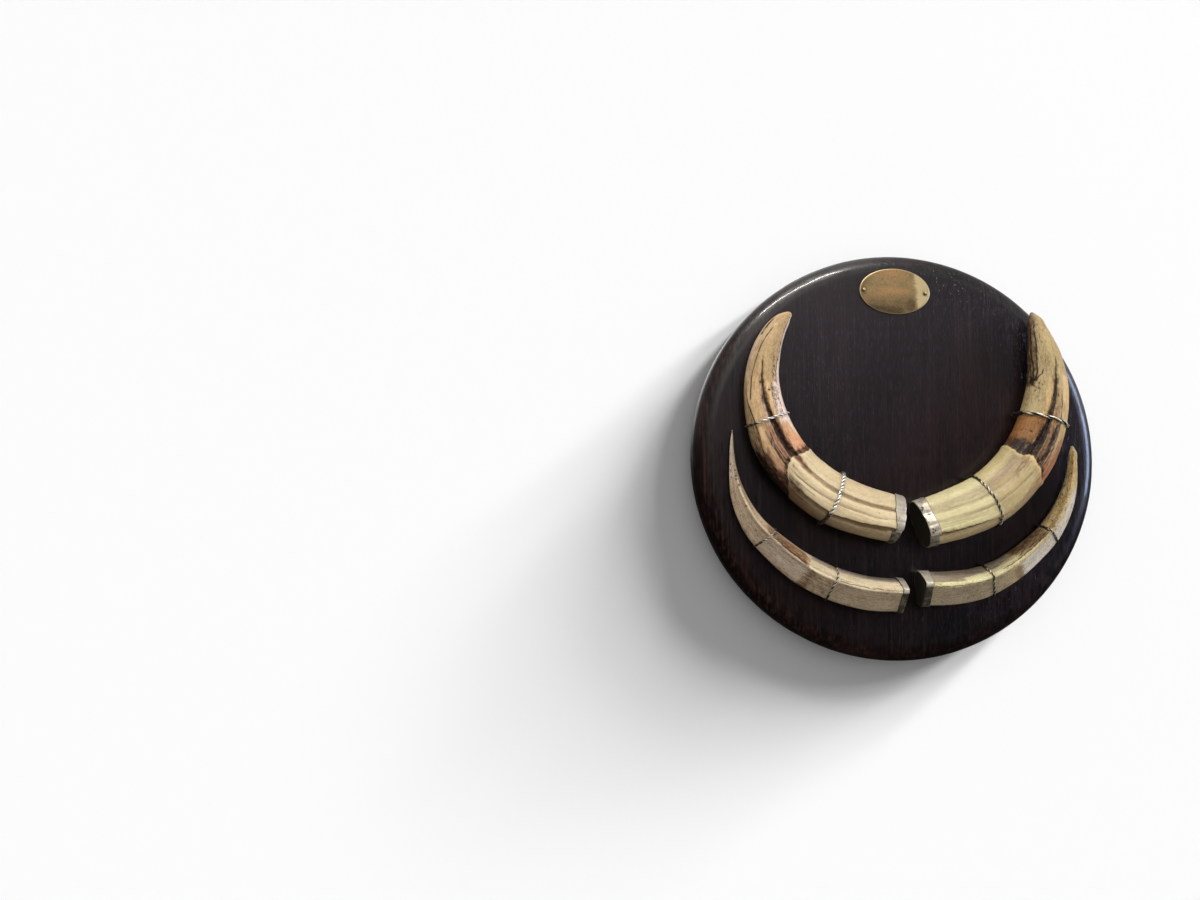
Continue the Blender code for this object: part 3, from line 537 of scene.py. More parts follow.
# Bands along a gum line: (stain, strength, four distances past it in mm, lowest and highest direction).
BANDS = {
    "upper_left": (
        ("dark", 0.88, -7.2, -4, -0.2, 0.3, 106, 240), ("rust", 0.55, -10.5, -6, -2, -0.5, 106, 176),
        ("dark", 0.8, -5, -2.5, -0.4, 0.2, 26, 84), ("brown", 0.6, -11, -4, -0.5, 0.3, 16, 46),
        ("brown", 0.55, 1.5, 4, 10, 22, 26, 60)),
    "upper_right": (
        ("dark", 0.74, -11.5, -3, -0.3, 0.3, 96, 172), ("dark", 0.75, -4.5, -2.5, -0.3, 0.3, 40, 96),
        ("cream", 0.75, 0, 1, 2.6, 4.6, 30, 132)),
}
HALO = 1.3                  # how much softer, in mm, is the brown halo of a dark stain
STAIN_AND_PAINTED_LIGHT_ORDER = ("pale", "cream", "warm", "rust", "plum", "olive", "brown", "dark")
# Striations and swellings: (height in mm, waves a metre along the tusk, degrees a wave round it).
SURFACE = ((0.06, 40, 2.4), (0.035, 90, 1.7), (0.18, 60, 26), (0.08, 180, 16))
PIT_DEPTH = 0.35            # in mm
SLEEVE_RISE = 0.45          # how far, in mm, the sleeve stands over the bare tooth
LIP_RISE = {"upper_left": 0.15, "upper_right": 0.45}
LOWER_SLEEVE = 0.62         # the share where a lower tusk's base begins


def wandering(tusk, line, wander, seed):
    """A line with small irregular bends."""
    places, turns = columns(line)
    at = np.linspace(places[0], places[-1], 60)
    half = np.maximum(0.002, tusk.half_width(at * tusk.length))
    bend = noise(seed, at * tusk.length * 300, at * 0) + 0.6 * noise(seed + 1, at * tusk.length * 900, at * 0)
    return np.stack([at, np.interp(at, places, turns) + np.degrees(wander * MM * bend / half)], -1)


def pitting(tusk, share, degrees, seed):
    """A mask of the single pits and of the fields of small ones."""
    draw = np.random.default_rng(seed)
    rows = [(at, turn, long * MM, wide * MM, 1.0) for at, turn, long, wide in PITS[tusk.name]]
    for count, wide, longer, first, last, low, high in PITTED[tusk.name]:
        for _ in range(count):
            size = wide * draw.uniform(0.6, 1.2) * MM
            rows.append((draw.uniform(first, last), draw.uniform(low, high), size * longer, size,
                         draw.uniform(0.25, 0.9)))
    total = np.zeros(np.broadcast(share, degrees).shape)
    half = np.maximum(0.001, tusk.half_width(share * tusk.length))
    for at, turn, long, wide, strength in rows:
        near = np.abs(share[:, 0] - at) * tusk.length < 3 * long
        if near.any():
            x = (share[near] - at) * tusk.length / long
            y = np.radians(degrees - turn) * half[near] / wide
            total[near] = np.maximum(total[near], strength * np.exp(-(x * x + y * y)))
    return total


def common_relief(tusk, share, degrees, masks):
    """Lengthwise striations, soft swellings, cracks and grooves of any tusk."""
    along = share * tusk.length
    seed = 100 * tusk.number
    lift = 0
    for number, (height, lengthwise, wide) in enumerate(SURFACE):
        lift = lift + height * MM * noise(seed + 1 + number, along * lengthwise, degrees / wide)
    lift = lift * smooth(along, 0.002, 0.020)
    for line in GROOVES[tusk.name]:
        places, _, depths, widths = columns(line)
        depth = np.interp(share, places, depths) * (share > places[0]) * (share < places[-1]) * MM
        lift = lift - depth * bell(tusk.apart(share, degrees, line), np.interp(share, places, widths) * MM)
    dark = 0
    for number, (width, depth, wander, line) in enumerate(CRACKS_AND_SHADE_LINES[tusk.name]):
        there = tusk.line(share, degrees, wandering(tusk, line, wander, seed + 20 + number), width * MM)
        there = there * (0.50 + 0.50 * smooth(noise(seed + 40 + number, along * 420, along * 0), -0.6, 0.2))
        lift = lift - depth * MM * there
        dark = np.maximum(dark, there)
    pits = pitting(tusk, share, degrees, seed + 60)
    masks["line"] = np.maximum(dark, pits)
    return lift - PIT_DEPTH * MM * pits


def upper_relief(tusk, share, degrees, masks):
    """The gum line's step, the ledge below it and the facet above it."""
    along = share * tusk.length
    seed = 700 if tusk.name == "upper_left" else 800
    directions, places = columns(GUM[tusk.name])
    ragged = 0.0022 * noise(seed, degrees / 9, degrees * 0) + 0.0008 * noise(seed + 1, degrees / 2.5, degrees * 0)
    past = (share - np.interp(degrees, directions, places) - ragged) * tusk.length
    masks["past"] = past
    masks["sleeve"] = smooth(past, -0.6 * MM, 0.9 * MM)
    lift = common_relief(tusk, share, degrees, masks)
    lift = lift + MM * (SLEEVE_RISE * smooth(past, -0.4 * MM, 1.6 * MM)
                        + LIP_RISE[tusk.name] * bell(past - 2.2 * MM, 2.6 * MM))
    # the ledge along the sleeve's outer lobe: full above it, undercut below it, with a scalloped edge
    edge = tusk.apart(share, degrees, SHELF[tusk.name])
    edge = edge + MM * (0.40 * noise(seed + 3, along * 330, along * 0) + 0.25 * noise(seed + 4, along * 800, along * 0))
    start = smooth(share, 0.60, 0.72)
    full = bell(np.maximum(0, edge - 1.2 * MM), 5.0 * MM) * smooth(edge, -0.9 * MM, 0.9 * MM)
    under = smooth(edge, 0.9 * MM, -0.9 * MM) * smooth(edge, -9 * MM, -4 * MM)
    lift = lift + (0.25 + 0.75 * start) * MM * 1.35 * full * smooth(share, 0.585, 0.62) - 0.9 * start * MM * under
    # the edge between the bare tooth's front and its outer facet
    facet = tusk.apart(share, degrees, FACET[tusk.name])
    ends = within(share, FACET[tusk.name][0][0] + 0.03, FACET[tusk.name][-1][0] - 0.02, 0.03)
    return lift + ends * MM * (0.7 * bell(facet - 1.5 * MM, 2.2 * MM) - 0.5 * bell(facet + 1.8 * MM, 1.6 * MM))


def lower_relief(tusk, share, degrees, masks):
    """The long ridge."""
    lift = common_relief(tusk, share, degrees, masks)
    ridge = tusk.apart(share, degrees, RIDGE[tusk.name]) + 0.9 * MM
    masks["past"] = (share - LOWER_SLEEVE) * tusk.length + 0 * degrees
    masks["sleeve"] = smooth(masks["past"], -8 * MM, 10 * MM)
    return lift + smooth(share, 0.10, 0.40) * MM * (bell(ridge, 1.5 * MM) - 0.3 * bell(ridge - 4.5 * MM, 2 * MM))


def relief(tusk, share, degrees):
    masks = {}
    turned = np.where(degrees > 270, degrees - 360, degrees)
    shape = upper_relief if tusk.row == "upper" else lower_relief
    return shape(tusk, share, turned, masks) + 0 * degrees, masks, turned


def area(tusk, share, degrees, rows, soft, ragged, seed, grow=0.0):
    """1 inside an area and 0 outside it, with a frayed edge."""
    places, low, high = columns(rows)
    along = share * tusk.length
    half = np.maximum(0.001, tusk.half_width(along))
    fray = ragged * MM * (noise(seed, along * 110, degrees / 2.0) + 0.6 * noise(seed + 1, along * 380, degrees / 5.0))
    lower = np.radians(degrees - np.interp(share, places, low)) * half + 0.5 * fray
    upper = np.radians(np.interp(share, places, high) - degrees) * half + 0.5 * fray
    ends = np.minimum(share - places[0], places[-1] - share) * tusk.length + 1.5 * fray
    return smooth(np.minimum(np.minimum(lower, upper), ends) + grow * MM, -soft * MM, soft * MM)


def stains_and_painted_light(tusk, share, degrees, masks):
    """The soft-edged masks that say where each stain lies, and where shade and highlights are painted."""
    seed = 1000 + 100 * tusk.number
    clip = {"tooth": 1 - masks["sleeve"], "sleeve": masks["sleeve"], "all": 1.0}
    for stain_and_painted_light in STAIN_AND_PAINTED_LIGHT_ORDER:
        masks[stain_and_painted_light] = 0 * share * degrees
    for number, (where, stain_and_painted_light, strength, soft, ragged, rows) in enumerate(AREAS[tusk.name]):
        if isinstance(strength, tuple):
            strength = np.interp(share, (rows[0][0], rows[-1][0]), strength)
        there = strength * clip[where] * area(tusk, share, degrees, rows, soft, ragged, seed + 2 * number)
        masks[stain_and_painted_light] = np.maximum(masks[stain_and_painted_light], there)
        if stain_and_painted_light == "dark":
            halo = area(tusk, share, degrees, rows, soft + HALO, ragged + 0.6, seed + 2 * number + 1, 0.9)
            masks["brown"] = np.maximum(masks["brown"], 0.85 * strength * clip[where] * halo)
    for stain_and_painted_light, strength, a, b, c, d, low, high in BANDS.get(tusk.name, ()):
        past = masks["past"] + 0.8 * MM * noise(seed + 80, degrees / 2.5, share * 60)
        there = strength * smooth(past, a * MM, b * MM) * (1 - smooth(past, c * MM, d * MM))
        masks[stain_and_painted_light] = np.maximum(masks[stain_and_painted_light], there * within(degrees, low, high, 5))


# ---- pieces

def net(rows, count):
    """Quads of a net of rows by count points, closed round each row."""
    i, j = np.arange(rows - 1)[:, None], np.arange(count)[None, :]
    k = (j + 1) % count
    return np.stack([i * count + j, i * count + k, (i + 1) * count + k, (i + 1) * count + j], -1).reshape(-1, 4)


def tube(points):
    """Vertices and faces of a closed tube of rings, with a middle point at each end. Triangles repeat a point."""
    rows, count = points.shape[:2]
    flat = np.concatenate([points.reshape(-1, 3), points[0].mean(0)[None], points[-1].mean(0)[None]])
    ring = np.arange(count)
    after, far = (ring + 1) % count, (rows - 1) * count
    start = np.stack([ring * 0 + rows * count, after, ring, ring], -1)
    stop = np.stack([ring * 0 + rows * count + 1, ring + far, after + far, after + far], -1)
    faces = np.concatenate([net(rows, count), start, stop])
    a, b, c, d = (flat[faces[:, k]] for k in range(4))
    volume = np.einsum("ij,ij->i", a, np.cross(b, c)) + np.einsum("ij,ij->i", a, np.cross(c, d))
    return flat, faces if volume.sum() > 0 else faces[:, ::-1]


def on_tube(shape, **fields):
    """Values over a net of rings as values of its tube's vertices."""
    laid = {}
    for key, value in fields.items():
        value = np.broadcast_to(value, shape + value.shape[2:]).reshape(-1, *value.shape[2:])
        laid[key] = np.concatenate([value, value[:1], value[-1:]])
    return laid


def make_object(name, points, faces, material):
    """Makes a mesh object. A face that repeats a point is a triangle."""
    mesh = bpy.data.meshes.new(name)
    mesh.from_pydata(points.tolist(), [], [list(dict.fromkeys(face)) for face in faces.tolist()])
    mesh.materials.append(material)
    made = bpy.data.objects.new(name, mesh)
    bpy.context.scene.collection.objects.link(made)
    return made


def make_piece(name, points, faces, nodes, slot, material, values, sharp=None):
    """Makes a mesh object that stands for CAD nodes, with values that its material reads."""
    piece = make_object(name, points, faces, material)
    mesh = piece.data
    for key, value in values.items():
        flat = value.ndim == 1
        layer = mesh.attributes.new(key, "FLOAT" if flat else "FLOAT_VECTOR", "POINT")
        layer.data.foreach_set("value" if flat else "vector", value.astype(np.float32).ravel())
    mesh.shade_smooth()
    if sharp:
        mesh.set_sharp_from_angle(angle=math.radians(sharp))
    mesh.update()
    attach(piece, "root")
    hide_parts(*nodes)


# ---- materials

class Graph:
    """Short ways to lay the nodes of a material or a world."""

    def __init__(self, owner):
        owner.use_nodes = True
        self.owner = owner
        self.nodes = owner.node_tree.nodes
        self.links = owner.node_tree.links

    def feed(self, socket, value):
        if isinstance(value, bpy.types.NodeSocket):
            self.links.new(value, socket)
        elif isinstance(value, tuple) and socket.type == "RGBA":
            socket.default_value = (*value, 1.0)
        else:
            socket.default_value = value

    def node(self, kind, inputs=(), output=0, **settings):
        """Lays a node, feeds its inputs and gives back one of its outputs."""
        node = self.nodes.new("ShaderNode" + kind)
        for key, value in settings.items():
            setattr(node, key, value)
        for key, value in dict(inputs).items():
            self.feed(node.inputs[key], value)
        return node.outputs[output]

    def set(self, inputs, node="Principled BSDF"):
        for key, value in inputs.items():
            self.feed(self.nodes[node].inputs[key], value)

    def attribute(self, name, output="Fac"):
        return self.node("Attribute", output=output, attribute_name=name)

    def place(self):
        return self.node("TexCoord", output="Object")

    def math(self, operation, a, b=0.0, clamp=False):
        return self.node("Math", {0: a, 1: b}, operation=operation, use_clamp=clamp)

    def add(self, a, b, clamp=False):
        return self.math("ADD", a, b, clamp)

    def times(self, *factors):
        total = factors[0]
        for factor in factors[1:]:
            total = self.math("MULTIPLY", total, factor)
        return total

    def swing(self, value, strength):
        """A noise's value about its middle, with a strength."""
        return self.times(self.math("SUBTRACT", value, 0.5), strength)

    def scaled(self, vector, scale):
        return self.node("VectorMath", {0: vector, 1: scale}, operation="MULTIPLY")

    def noise(self, vector, scale, detail=2.0, rough=0.5):
        """Noise with its own scale, per metre, along each axis."""
        return self.node("TexNoise", {"Vector": self.scaled(vector, scale), "Scale": 1.0, "Detail": detail,
                                      "Roughness": rough})

    def step(self, value, low, high, to_low=0.0, to_high=1.0):
        """Goes softly from to_low at low to to_high at high."""
        return self.node("MapRange", dict(enumerate((value, low, high, to_low, to_high))),
                         interpolation_type="SMOOTHSTEP")

    def mix(self, share, a, b, blend="MIX"):
        return self.node("Mix", {0: share, 6: a, 7: b}, 2, data_type="RGBA", blend_type=blend)

    def bump(self, height, distance, strength):
        self.set({"Normal": self.node("Bump", {"Strength": strength, "Distance": distance, "Height": height})})


# How each tusk's ivory is worn: grain, mottling and speckling, then how much of them and how much of the darkness of
# the cracks and shade lines shows past the gum line.
WEAR = {
    "upper_left": (1.5, 1.8, 1.4, 0.36, 0.80),
    "upper_right": (1.5, 1.8, 1.6, 0.36, 0.42),
    "lower_left": (2.2, 1.5, 2.6, 0.80, 1.20),
    "lower_right": (1.8, 1.8, 3.6, 0.80, 1.20),
}
# How frayed an area's edges are, by its colour, where not 1.
FRAY = {"olive": 0.2, "pale": 0.4, "cream": 0.3, "dark": 0.55, "brown": 0.8}
# Colours of the tooth (linear), one set a tusk.
TONES = {
    "upper_left": dict(
        body=(0.386, 0.27, 0.14), base=(0.594, 0.491, 0.316), pale=(0.686, 0.562, 0.513),
        cream=(0.594, 0.405, 0.222), warm=(0.576, 0.303, 0.184), rust=(0.275, 0.121, 0.066),
        plum=(0.3, 0.149, 0.106), olive=(0.134, 0.083, 0.039), brown=(0.073, 0.031, 0.015),
        dark=(0.014, 0.005, 0.004), shade=(0.5, 0.42, 0.33), light=(0.34, 0.31, 0.27), crack_and_shade=(0.024, 0.014, 0.009)),
    "upper_right": dict(
        body=(0.362, 0.279, 0.145), base=(0.462, 0.38, 0.193), pale=(0.598, 0.555, 0.327),
        cream=(0.602, 0.413, 0.195), warm=(0.224, 0.1, 0.03), rust=(0.285, 0.113, 0.062), plum=(0.204, 0.11, 0.066),
        olive=(0.242, 0.175, 0.121), brown=(0.073, 0.031, 0.013), dark=(0.013, 0.007, 0.007),
        shade=(0.5, 0.41, 0.31), light=(0.32, 0.29, 0.22), crack_and_shade=(0.02, 0.014, 0.008)),
    "lower_left": dict(
        body=(0.315, 0.239, 0.165), base=(0.352, 0.294, 0.194), pale=(0.441, 0.382, 0.314),
        cream=(0.673, 0.57, 0.391), warm=(0.342, 0.233, 0.142), rust=(0.252, 0.12, 0.052),
        plum=(0.243, 0.196, 0.159), olive=(0.223, 0.173, 0.117), brown=(0.112, 0.06, 0.029), dark=(0.05, 0.03, 0.02),
        shade=(0.5, 0.42, 0.34), light=(0.34, 0.31, 0.27), crack_and_shade=(0.05, 0.028, 0.016)),
    "lower_right": dict(
        body=(0.43, 0.342, 0.174), base=(0.273, 0.239, 0.152), pale=(0.504, 0.484, 0.452),
        cream=(0.638, 0.589, 0.345), warm=(0.429, 0.259, 0.096), rust=(0.29, 0.182, 0.1), plum=(0.273, 0.218, 0.171),
        olive=(0.156, 0.107, 0.069), brown=(0.139, 0.078, 0.034), dark=(0.05, 0.03, 0.02), shade=(0.5, 0.42, 0.33),
        light=(0.34, 0.31, 0.27), crack_and_shade=(0.05, 0.028, 0.014)),
}


def ivory_material(name):
    g = Graph(bpy.data.materials.new("ivory_" + name))
    tones = TONES[name]
    grained, mottled, gritty, sleeve_wear, sleeve_line = WEAR[name]
    bind = g.attribute("bind", "Vector")
    grain = g.noise(bind, (1100, 1100, 30), 3, 0.6)
    fine = g.noise(bind, (2600, 2600, 90))
    blotch = g.noise(bind, (90, 90, 45), 3)
    streak = g.noise(bind, (520, 520, 20), 3, 0.65)
    rings = g.noise(bind, (70, 70, 900))
    mottle = g.noise(bind, (420, 420, 300), 3, 0.6)
    grit = g.noise(bind, (1150, 1150, 800), 2, 0.7)
    wobble = g.add(g.swing(streak, 10.0), g.swing(mottle, 6.0))
    streaked = g.step(streak, 0.36, 0.56, 0.66, 1.0)
    colour = g.mix(g.attribute("sleeve"), tones["body"], tones["base"])
    colour = g.mix(g.step(fine, 0.54, 0.72, 0, 0.12), colour, tones["light"], "SCREEN")
    for stain_and_painted_light in STAIN_AND_PAINTED_LIGHT_ORDER:
        mask = g.attribute(stain_and_painted_light)
        edge = g.times(mask, g.math("SUBTRACT", 1.0, mask))
        share = g.add(mask, g.times(edge, g.times(wobble, FRAY.get(stain_and_painted_light, 1.0))), clamp=True)
        if stain_and_painted_light == "dark":
            share = g.times(share, g.step(mottle, 0.38, 0.56, 0.82, 1.0))
        elif stain_and_painted_light in ("rust", "plum"):
            share = g.times(share, streaked)
        colour = g.mix(share, colour, tones[stain_and_painted_light])
    wear = g.add(g.swing(grain, grained), g.swing(blotch, 1.5))
    wear = g.add(g.add(wear, g.swing(mottle, mottled)), g.swing(grit, gritty))
    wear = g.times(wear, g.step(g.attribute("sleeve"), 0.0, 1.0, 0.9, sleeve_wear))
    colour = g.mix(g.add(wear, 0.30, clamp=True), colour, tones["shade"], "MULTIPLY")
    lines = g.times(g.attribute("line"), g.step(g.attribute("sleeve"), 0.0, 1.0, 1.45, sleeve_line))
    g.set({"Base Color": g.mix(g.add(lines, 0.0, clamp=True), colour, tones["crack_and_shade"]),
           "Roughness": g.step(g.add(g.times(grain, 0.6), g.times(mottle, 0.4)), 0.2, 0.8, 0.42, 0.64),
           "Specular IOR Level": g.step(g.attribute("dark"), 0.0, 1.0, 0.30, 0.16)})
    g.bump(g.add(g.add(grain, g.times(fine, 0.5)), g.add(g.times(rings, 0.35), g.times(mottle, 0.8))), 0.00022, 0.55)
    return g.owner


def wood_material():
    g = Graph(bpy.data.materials.new("dark_wood_satin"))
    place = g.place()
    wide = g.noise(place, (55, 8, 7), 3, 0.6)
    fibre = g.noise(place, (620, 260, 13), 4, 0.7)
    pore = g.noise(place, (2200, 300, 90), 2, 0.7)
    patch = g.noise(place, (14, 14, 9))
    scuff = g.noise(place, (230, 230, 90), 4, 0.7)
    tone = g.mix(g.step(wide, 0.35, 0.70), (0.0022, 0.0014, 0.0013), (0.0052, 0.0028, 0.0024))
    tone = g.mix(g.step(patch, 0.45, 0.70, 0, 0.8), tone, (0.0078, 0.0036, 0.0036))
    tone = g.mix(g.step(fibre, 0.50, 0.70, 0, 0.65), tone, (0.0150, 0.0085, 0.0080))
    tone = g.mix(g.step(pore, 0.60, 0.72, 0, 0.8), tone, (0.0020, 0.0015, 0.0015))
    rubbed = g.times(g.attribute("worn"), g.step(g.add(fibre, g.swing(scuff, 0.5)), 0.42, 0.72))
    tone = g.mix(g.add(rubbed, 0.0, clamp=True), tone, (0.0330, 0.0135, 0.0085))
    scattered = g.node("TexVoronoi", {"Vector": g.scaled(place, (330, 330, 330)), "Scale": 1.0}, "Distance")
    specks = g.math("MAXIMUM", g.step(scuff, 0.66, 0.74, 0, 0.35), g.attribute("specks"))
    tone = g.mix(g.times(g.step(scattered, 0.05, 0.09, 1.0, 0.0), specks), tone, (0.42, 0.40, 0.37))
    g.set({"Base Color": tone,
           "Roughness": g.add(g.step(scuff, 0.3, 0.7, 0.28, 0.44), g.times(rubbed, 0.08)),
           "Specular IOR Level": 0.40,
           "Specular Tint": g.mix(g.attribute("face"), (1.0, 1.0, 1.0), (1.0, 0.86, 0.96)),
           "Coat Weight": 0.35, "Coat Roughness": 0.10})
    g.bump(g.add(fibre, g.times(g.step(pore, 0.60, 0.72), -0.8)), 0.00020, 0.9)
    return g.owner


def silver_material(name, base, tarnish, dull):
    g = Graph(bpy.data.materials.new(name))
    place = g.place()
    cloud = g.noise(place, (170, 170, 170), 3, 0.6)
    fleck = g.noise(place, (900, 900, 900), 3, 0.6)
    scratch = g.noise(place, (3000, 700, 500))
    # This mask is dark silver together with painted shade, a painted shadow along a cap's edge and a lighter painted
    # highlight at its end rim.
    share = g.add(g.times(g.step(cloud, 0.40, 0.66), dull), g.attribute("tarnish"))
    share = g.add(share, g.times(g.step(fleck, 0.66, 0.72), 0.5), clamp=True)
    g.set({"Base Color": g.mix(share, base, tarnish),
           "Metallic": g.step(share, 0.2, 1.0, 0.60, 0.35),
           "Roughness": g.step(g.add(share, g.times(scratch, 0.3)), 0.0, 1.1, 0.30, 0.60)})
    g.bump(g.add(cloud, g.times(fleck, 0.3)), 0.00010, 0.6)
    return g.owner


def brass_material():
    g = Graph(bpy.data.materials.new("brass_aged"))
    place = g.place()
    cloud = g.noise(place, (70, 70, 110), 3, 0.6)
    spot = g.noise(place, (600, 600, 600), 4, 0.65)
    drawn = g.noise(place, (260, 260, 2600))
    tone = g.mix(g.step(cloud, 0.36, 0.66), (0.27, 0.195, 0.090), (0.37, 0.23, 0.105))
    tone = g.mix(g.times(g.attribute("amber"), g.step(spot, 0.3, 0.6, 0.6, 1.0)), tone, (0.46, 0.255, 0.105))
    tone = g.mix(g.step(spot, 0.44, 0.66, 0, 0.50), tone, (0.170, 0.120, 0.058))
    # This mask holds the brass's dark spots, and also painted shade on the pins and a painted shadow ring by each pin.
    tone = g.mix(g.times(g.attribute("patina"), g.step(spot, 0.2, 0.6, 0.75, 1.0)), tone, (0.026, 0.023, 0.013))
    g.set({"Base Color": g.mix(g.attribute("bright"), tone, (0.78, 0.62, 0.34)), "Metallic": 0.75,
           "Roughness": g.step(spot, 0.3, 0.7, 0.36, 0.52)})
    g.bump(g.add(spot, g.times(drawn, 0.4)), 0.00008, 0.6)
    return g.owner


# ---- tusks

def build_tusk(tusk):
    """One tusk, with its net closer together at the tip and over the front."""
    places, front, back = FINE[tusk.row]
    t = np.linspace(0, 1, places)[1:, None]
    along = (tusk.length - CAP_WALL - GAP) * (t - TIP_CROWDING * t * (1 - t) ** 6)
    degrees = np.concatenate([np.linspace(*FRONT_SPAN, front, endpoint=False),
                              np.linspace(FRONT_SPAN[1], FRONT_SPAN[0] + 360, back, endpoint=False)])[None, :]
    share = along / tusk.length
    lift, masks, turned = relief(tusk, share, degrees)
    stains_and_painted_light(tusk, share, turned, masks)
    points = tusk.surface(along, degrees, lift)
    flat, faces = tube(points)
    flat[-2] = tusk.middle(np.array([0.0]))[0][0]
    angle = np.radians(degrees)
    half = np.maximum(0.006, tusk.half_width(along))
    fields = {key: masks[key] for key in STAIN_AND_PAINTED_LIGHT_ORDER + ("sleeve", "line")}
    values = on_tube(points.shape[:2], bind=stacked(half * np.cos(angle), half * np.sin(angle), along), **fields)
    make_piece("ivory_" + tusk.name, flat, faces, ["tusk_" + tusk.name], "ivory", ivory_material(tusk.name),
               values)


# ---- caps

# Where a cap's edge lies on the ivory: (direction, share of the length).
CAP_EDGE = {
    "upper_left": (
        (-90, 0.985), (0, 0.979), (20, 0.974), (42, 0.968), (48, 0.968), (52, 0.977), (62, 0.975), (76, 0.97),
        (90, 0.966), (110, 0.963), (150, 0.963), (172, 0.967), (200, 0.975), (270, 0.98)),
    "upper_right": (
        (-90, 0.957), (0, 0.959), (30, 0.965), (50, 0.967), (56, 0.961), (80, 0.963), (110, 0.967), (150, 0.964),
        (190, 0.957), (270, 0.957)),
    "lower_left": ((-90, 0.975), (40, 0.977), (110, 0.978), (160, 0.975), (270, 0.97)),
    "lower_right": ((-90, 0.962), (40, 0.968), (100, 0.97), (160, 0.963), (200, 0.957), (270, 0.957)),
}
# Worn-through dark spots on a cap: (share, direction, half size in mm).
CAP_SPOTS = {
    "upper_left": ((0.976, 92, 0.5),),
    "upper_right": (
        (0.99, 147, 1.3), (0.994, 141, 1), (0.982, 122, 0.7), (0.994, 99, 0.7), (0.989, 77, 0.9), (0.983, 72, 0.8),
        (0.976, 70, 0.6), (0.992, 68, 1), (0.972, 61, 0.6)),
    "lower_left": ((0.982, 126, 0.4), (0.981, 113, 0.4)),
    "lower_right": ((0.985, 60, 0.4), (0.99, 25, 0.6)),
}
CAP_HOLD = 0.80             # how much of the ivory's relief shows through the silver


def cap_shade(tusk, turned):
    """How dark a cap is round its section by the way each facet faces: painted shade, darkest on the facets that look
    down, partly real dark silver.
    """
    if tusk.row == "lower":
        return smooth(turned, 106, 98) * 0.92
    if tusk.name == "upper_right":
        return 0.85 * smooth(turned, 60, 53) * 0.80 + 0.48 * smooth(turned, 120, 134)
    return smooth(turned, 55, 48) * 0.80 + 0.20 * smooth(turned, 104, 118) - 0.16 * within(turned, 64, 100, 6)


def build_cap(tusk, material):
    """A thin silver band that follows the tusk's lobes, with a dark end plate."""
    seed = 900 + tusk.number
    degrees = np.linspace(0, 360, CAP_ROUND, endpoint=False)[None, :]
    turned = np.where(degrees > 270, degrees - 360, degrees)
    turns, places = columns(CAP_EDGE[tusk.name])
    edge = np.interp(turned, turns, places) * tusk.length + 0.15 * MM * noise(seed, turned / 12, turned * 0)
    t = np.linspace(0, 1, CAP_ROWS)[:, None]
    along = edge + (tusk.length - edge) * t
    hold = CAP_HOLD * relief(tusk, np.minimum(0.999, along / tusk.length), degrees)[0]
    dents = 0.05 * MM * noise(seed + 1, along * 300, turned / 12) + 0.02 * MM * noise(seed + 2, along * 900, turned / 4)
    rolled = -0.40 * MM * bell(along - edge, 0.35 * MM) - 0.35 * MM * smooth(t, 0.94, 1.0)
    band = tusk.surface(np.minimum(along, tusk.length), degrees, hold + GAP + CAP_WALL + dents + rolled)
    inside = tusk.surface(edge + 0.1 * MM, degrees, hold[:1] + 0.05 * MM)
    centre = band[-1].mean(0)
    plate = [centre + (band[-1] - centre) * share for share in CAP_END_RINGS]
    points = np.array([inside[0], *band, *plate])
    shade = cap_shade(tusk, turned)
    # A dark line along the band's edge on the ivory side is a painted shadow of the gap.
    dark = np.maximum(shade + 0 * along, 0.9 * bell(along - edge, 0.55 * MM))
    # A lighter strip near the end rim, on the facets that are not shaded, is a painted highlight.
    dark = dark - 0.25 * smooth(t, 0.86, 0.97) * (shade < 0.3)
    half = tusk.half_width(along)
    for share, turn, size in CAP_SPOTS[tusk.name]:
        far = np.hypot(along - share * tusk.length, np.radians(turned - turn) * half)
        far = far * (1 + 0.5 * noise(seed + 5, along * 1400, turned / 3))
        dark = np.maximum(dark, smooth(far, size * 1.25 * MM, size * 0.6 * MM))
    # The inner lip and the end plate are dark all over: dark silver and painted shade.
    tarnish = np.ones(points.shape[:2])
    tarnish[1:CAP_ROWS + 1] = dark
    make_piece("silver_cap_" + tusk.name, *tube(points), ["cap_" + tusk.name], "silver", material,
               on_tube(tarnish.shape, tarnish=tarnish), sharp=38)


# ---- wires

# Each wire: its shares of the length on the tusk's inside and outside, then a strand's half thickness in mm, its
# turns and its soot.
WIRES = {
    "upper_left": {"middle": (0.405, 0.413, 0.58, 8, 0.0), "base": (0.752, 0.766, 0.84, 13, 0.08)},
    "upper_right": {"middle": (0.390, 0.396, 0.76, 4, 0.05), "base": (0.750, 0.762, 0.58, 13, 0.42)},
    "lower_left": {"middle": (0.439, 0.425, 0.50, 8, 0.42), "base": (0.722, 0.727, 0.52, 8, 0.22)},
    "lower_right": {"middle": (0.383, 0.391, 0.54, 8, 0.50), "base": (0.708, 0.714, 0.54, 8, 0.42)},
}
WIRE_SINK = 0.65            # how far a wire sinks into a hollow, 0 to 1
WIRE_EASING = 5             # rounds of smoothing of a wire's bends
STRANDS_APART = 0.95        # half the distance between the strands, over a strand's half thickness


def taut(points):
    """The chain that a taut line touches, of points given anticlockwise."""
    chain = []
    for point in points:
        while len(chain) > 1:
            (ax, ay, _), (bx, by, _) = chain[-2], chain[-1]
            if (bx - ax) * (point[1] - ay) - (by - ay) * (point[0] - ax) > 0:
                break
            chain.pop()
        chain.append(point)
    return np.array(chain)


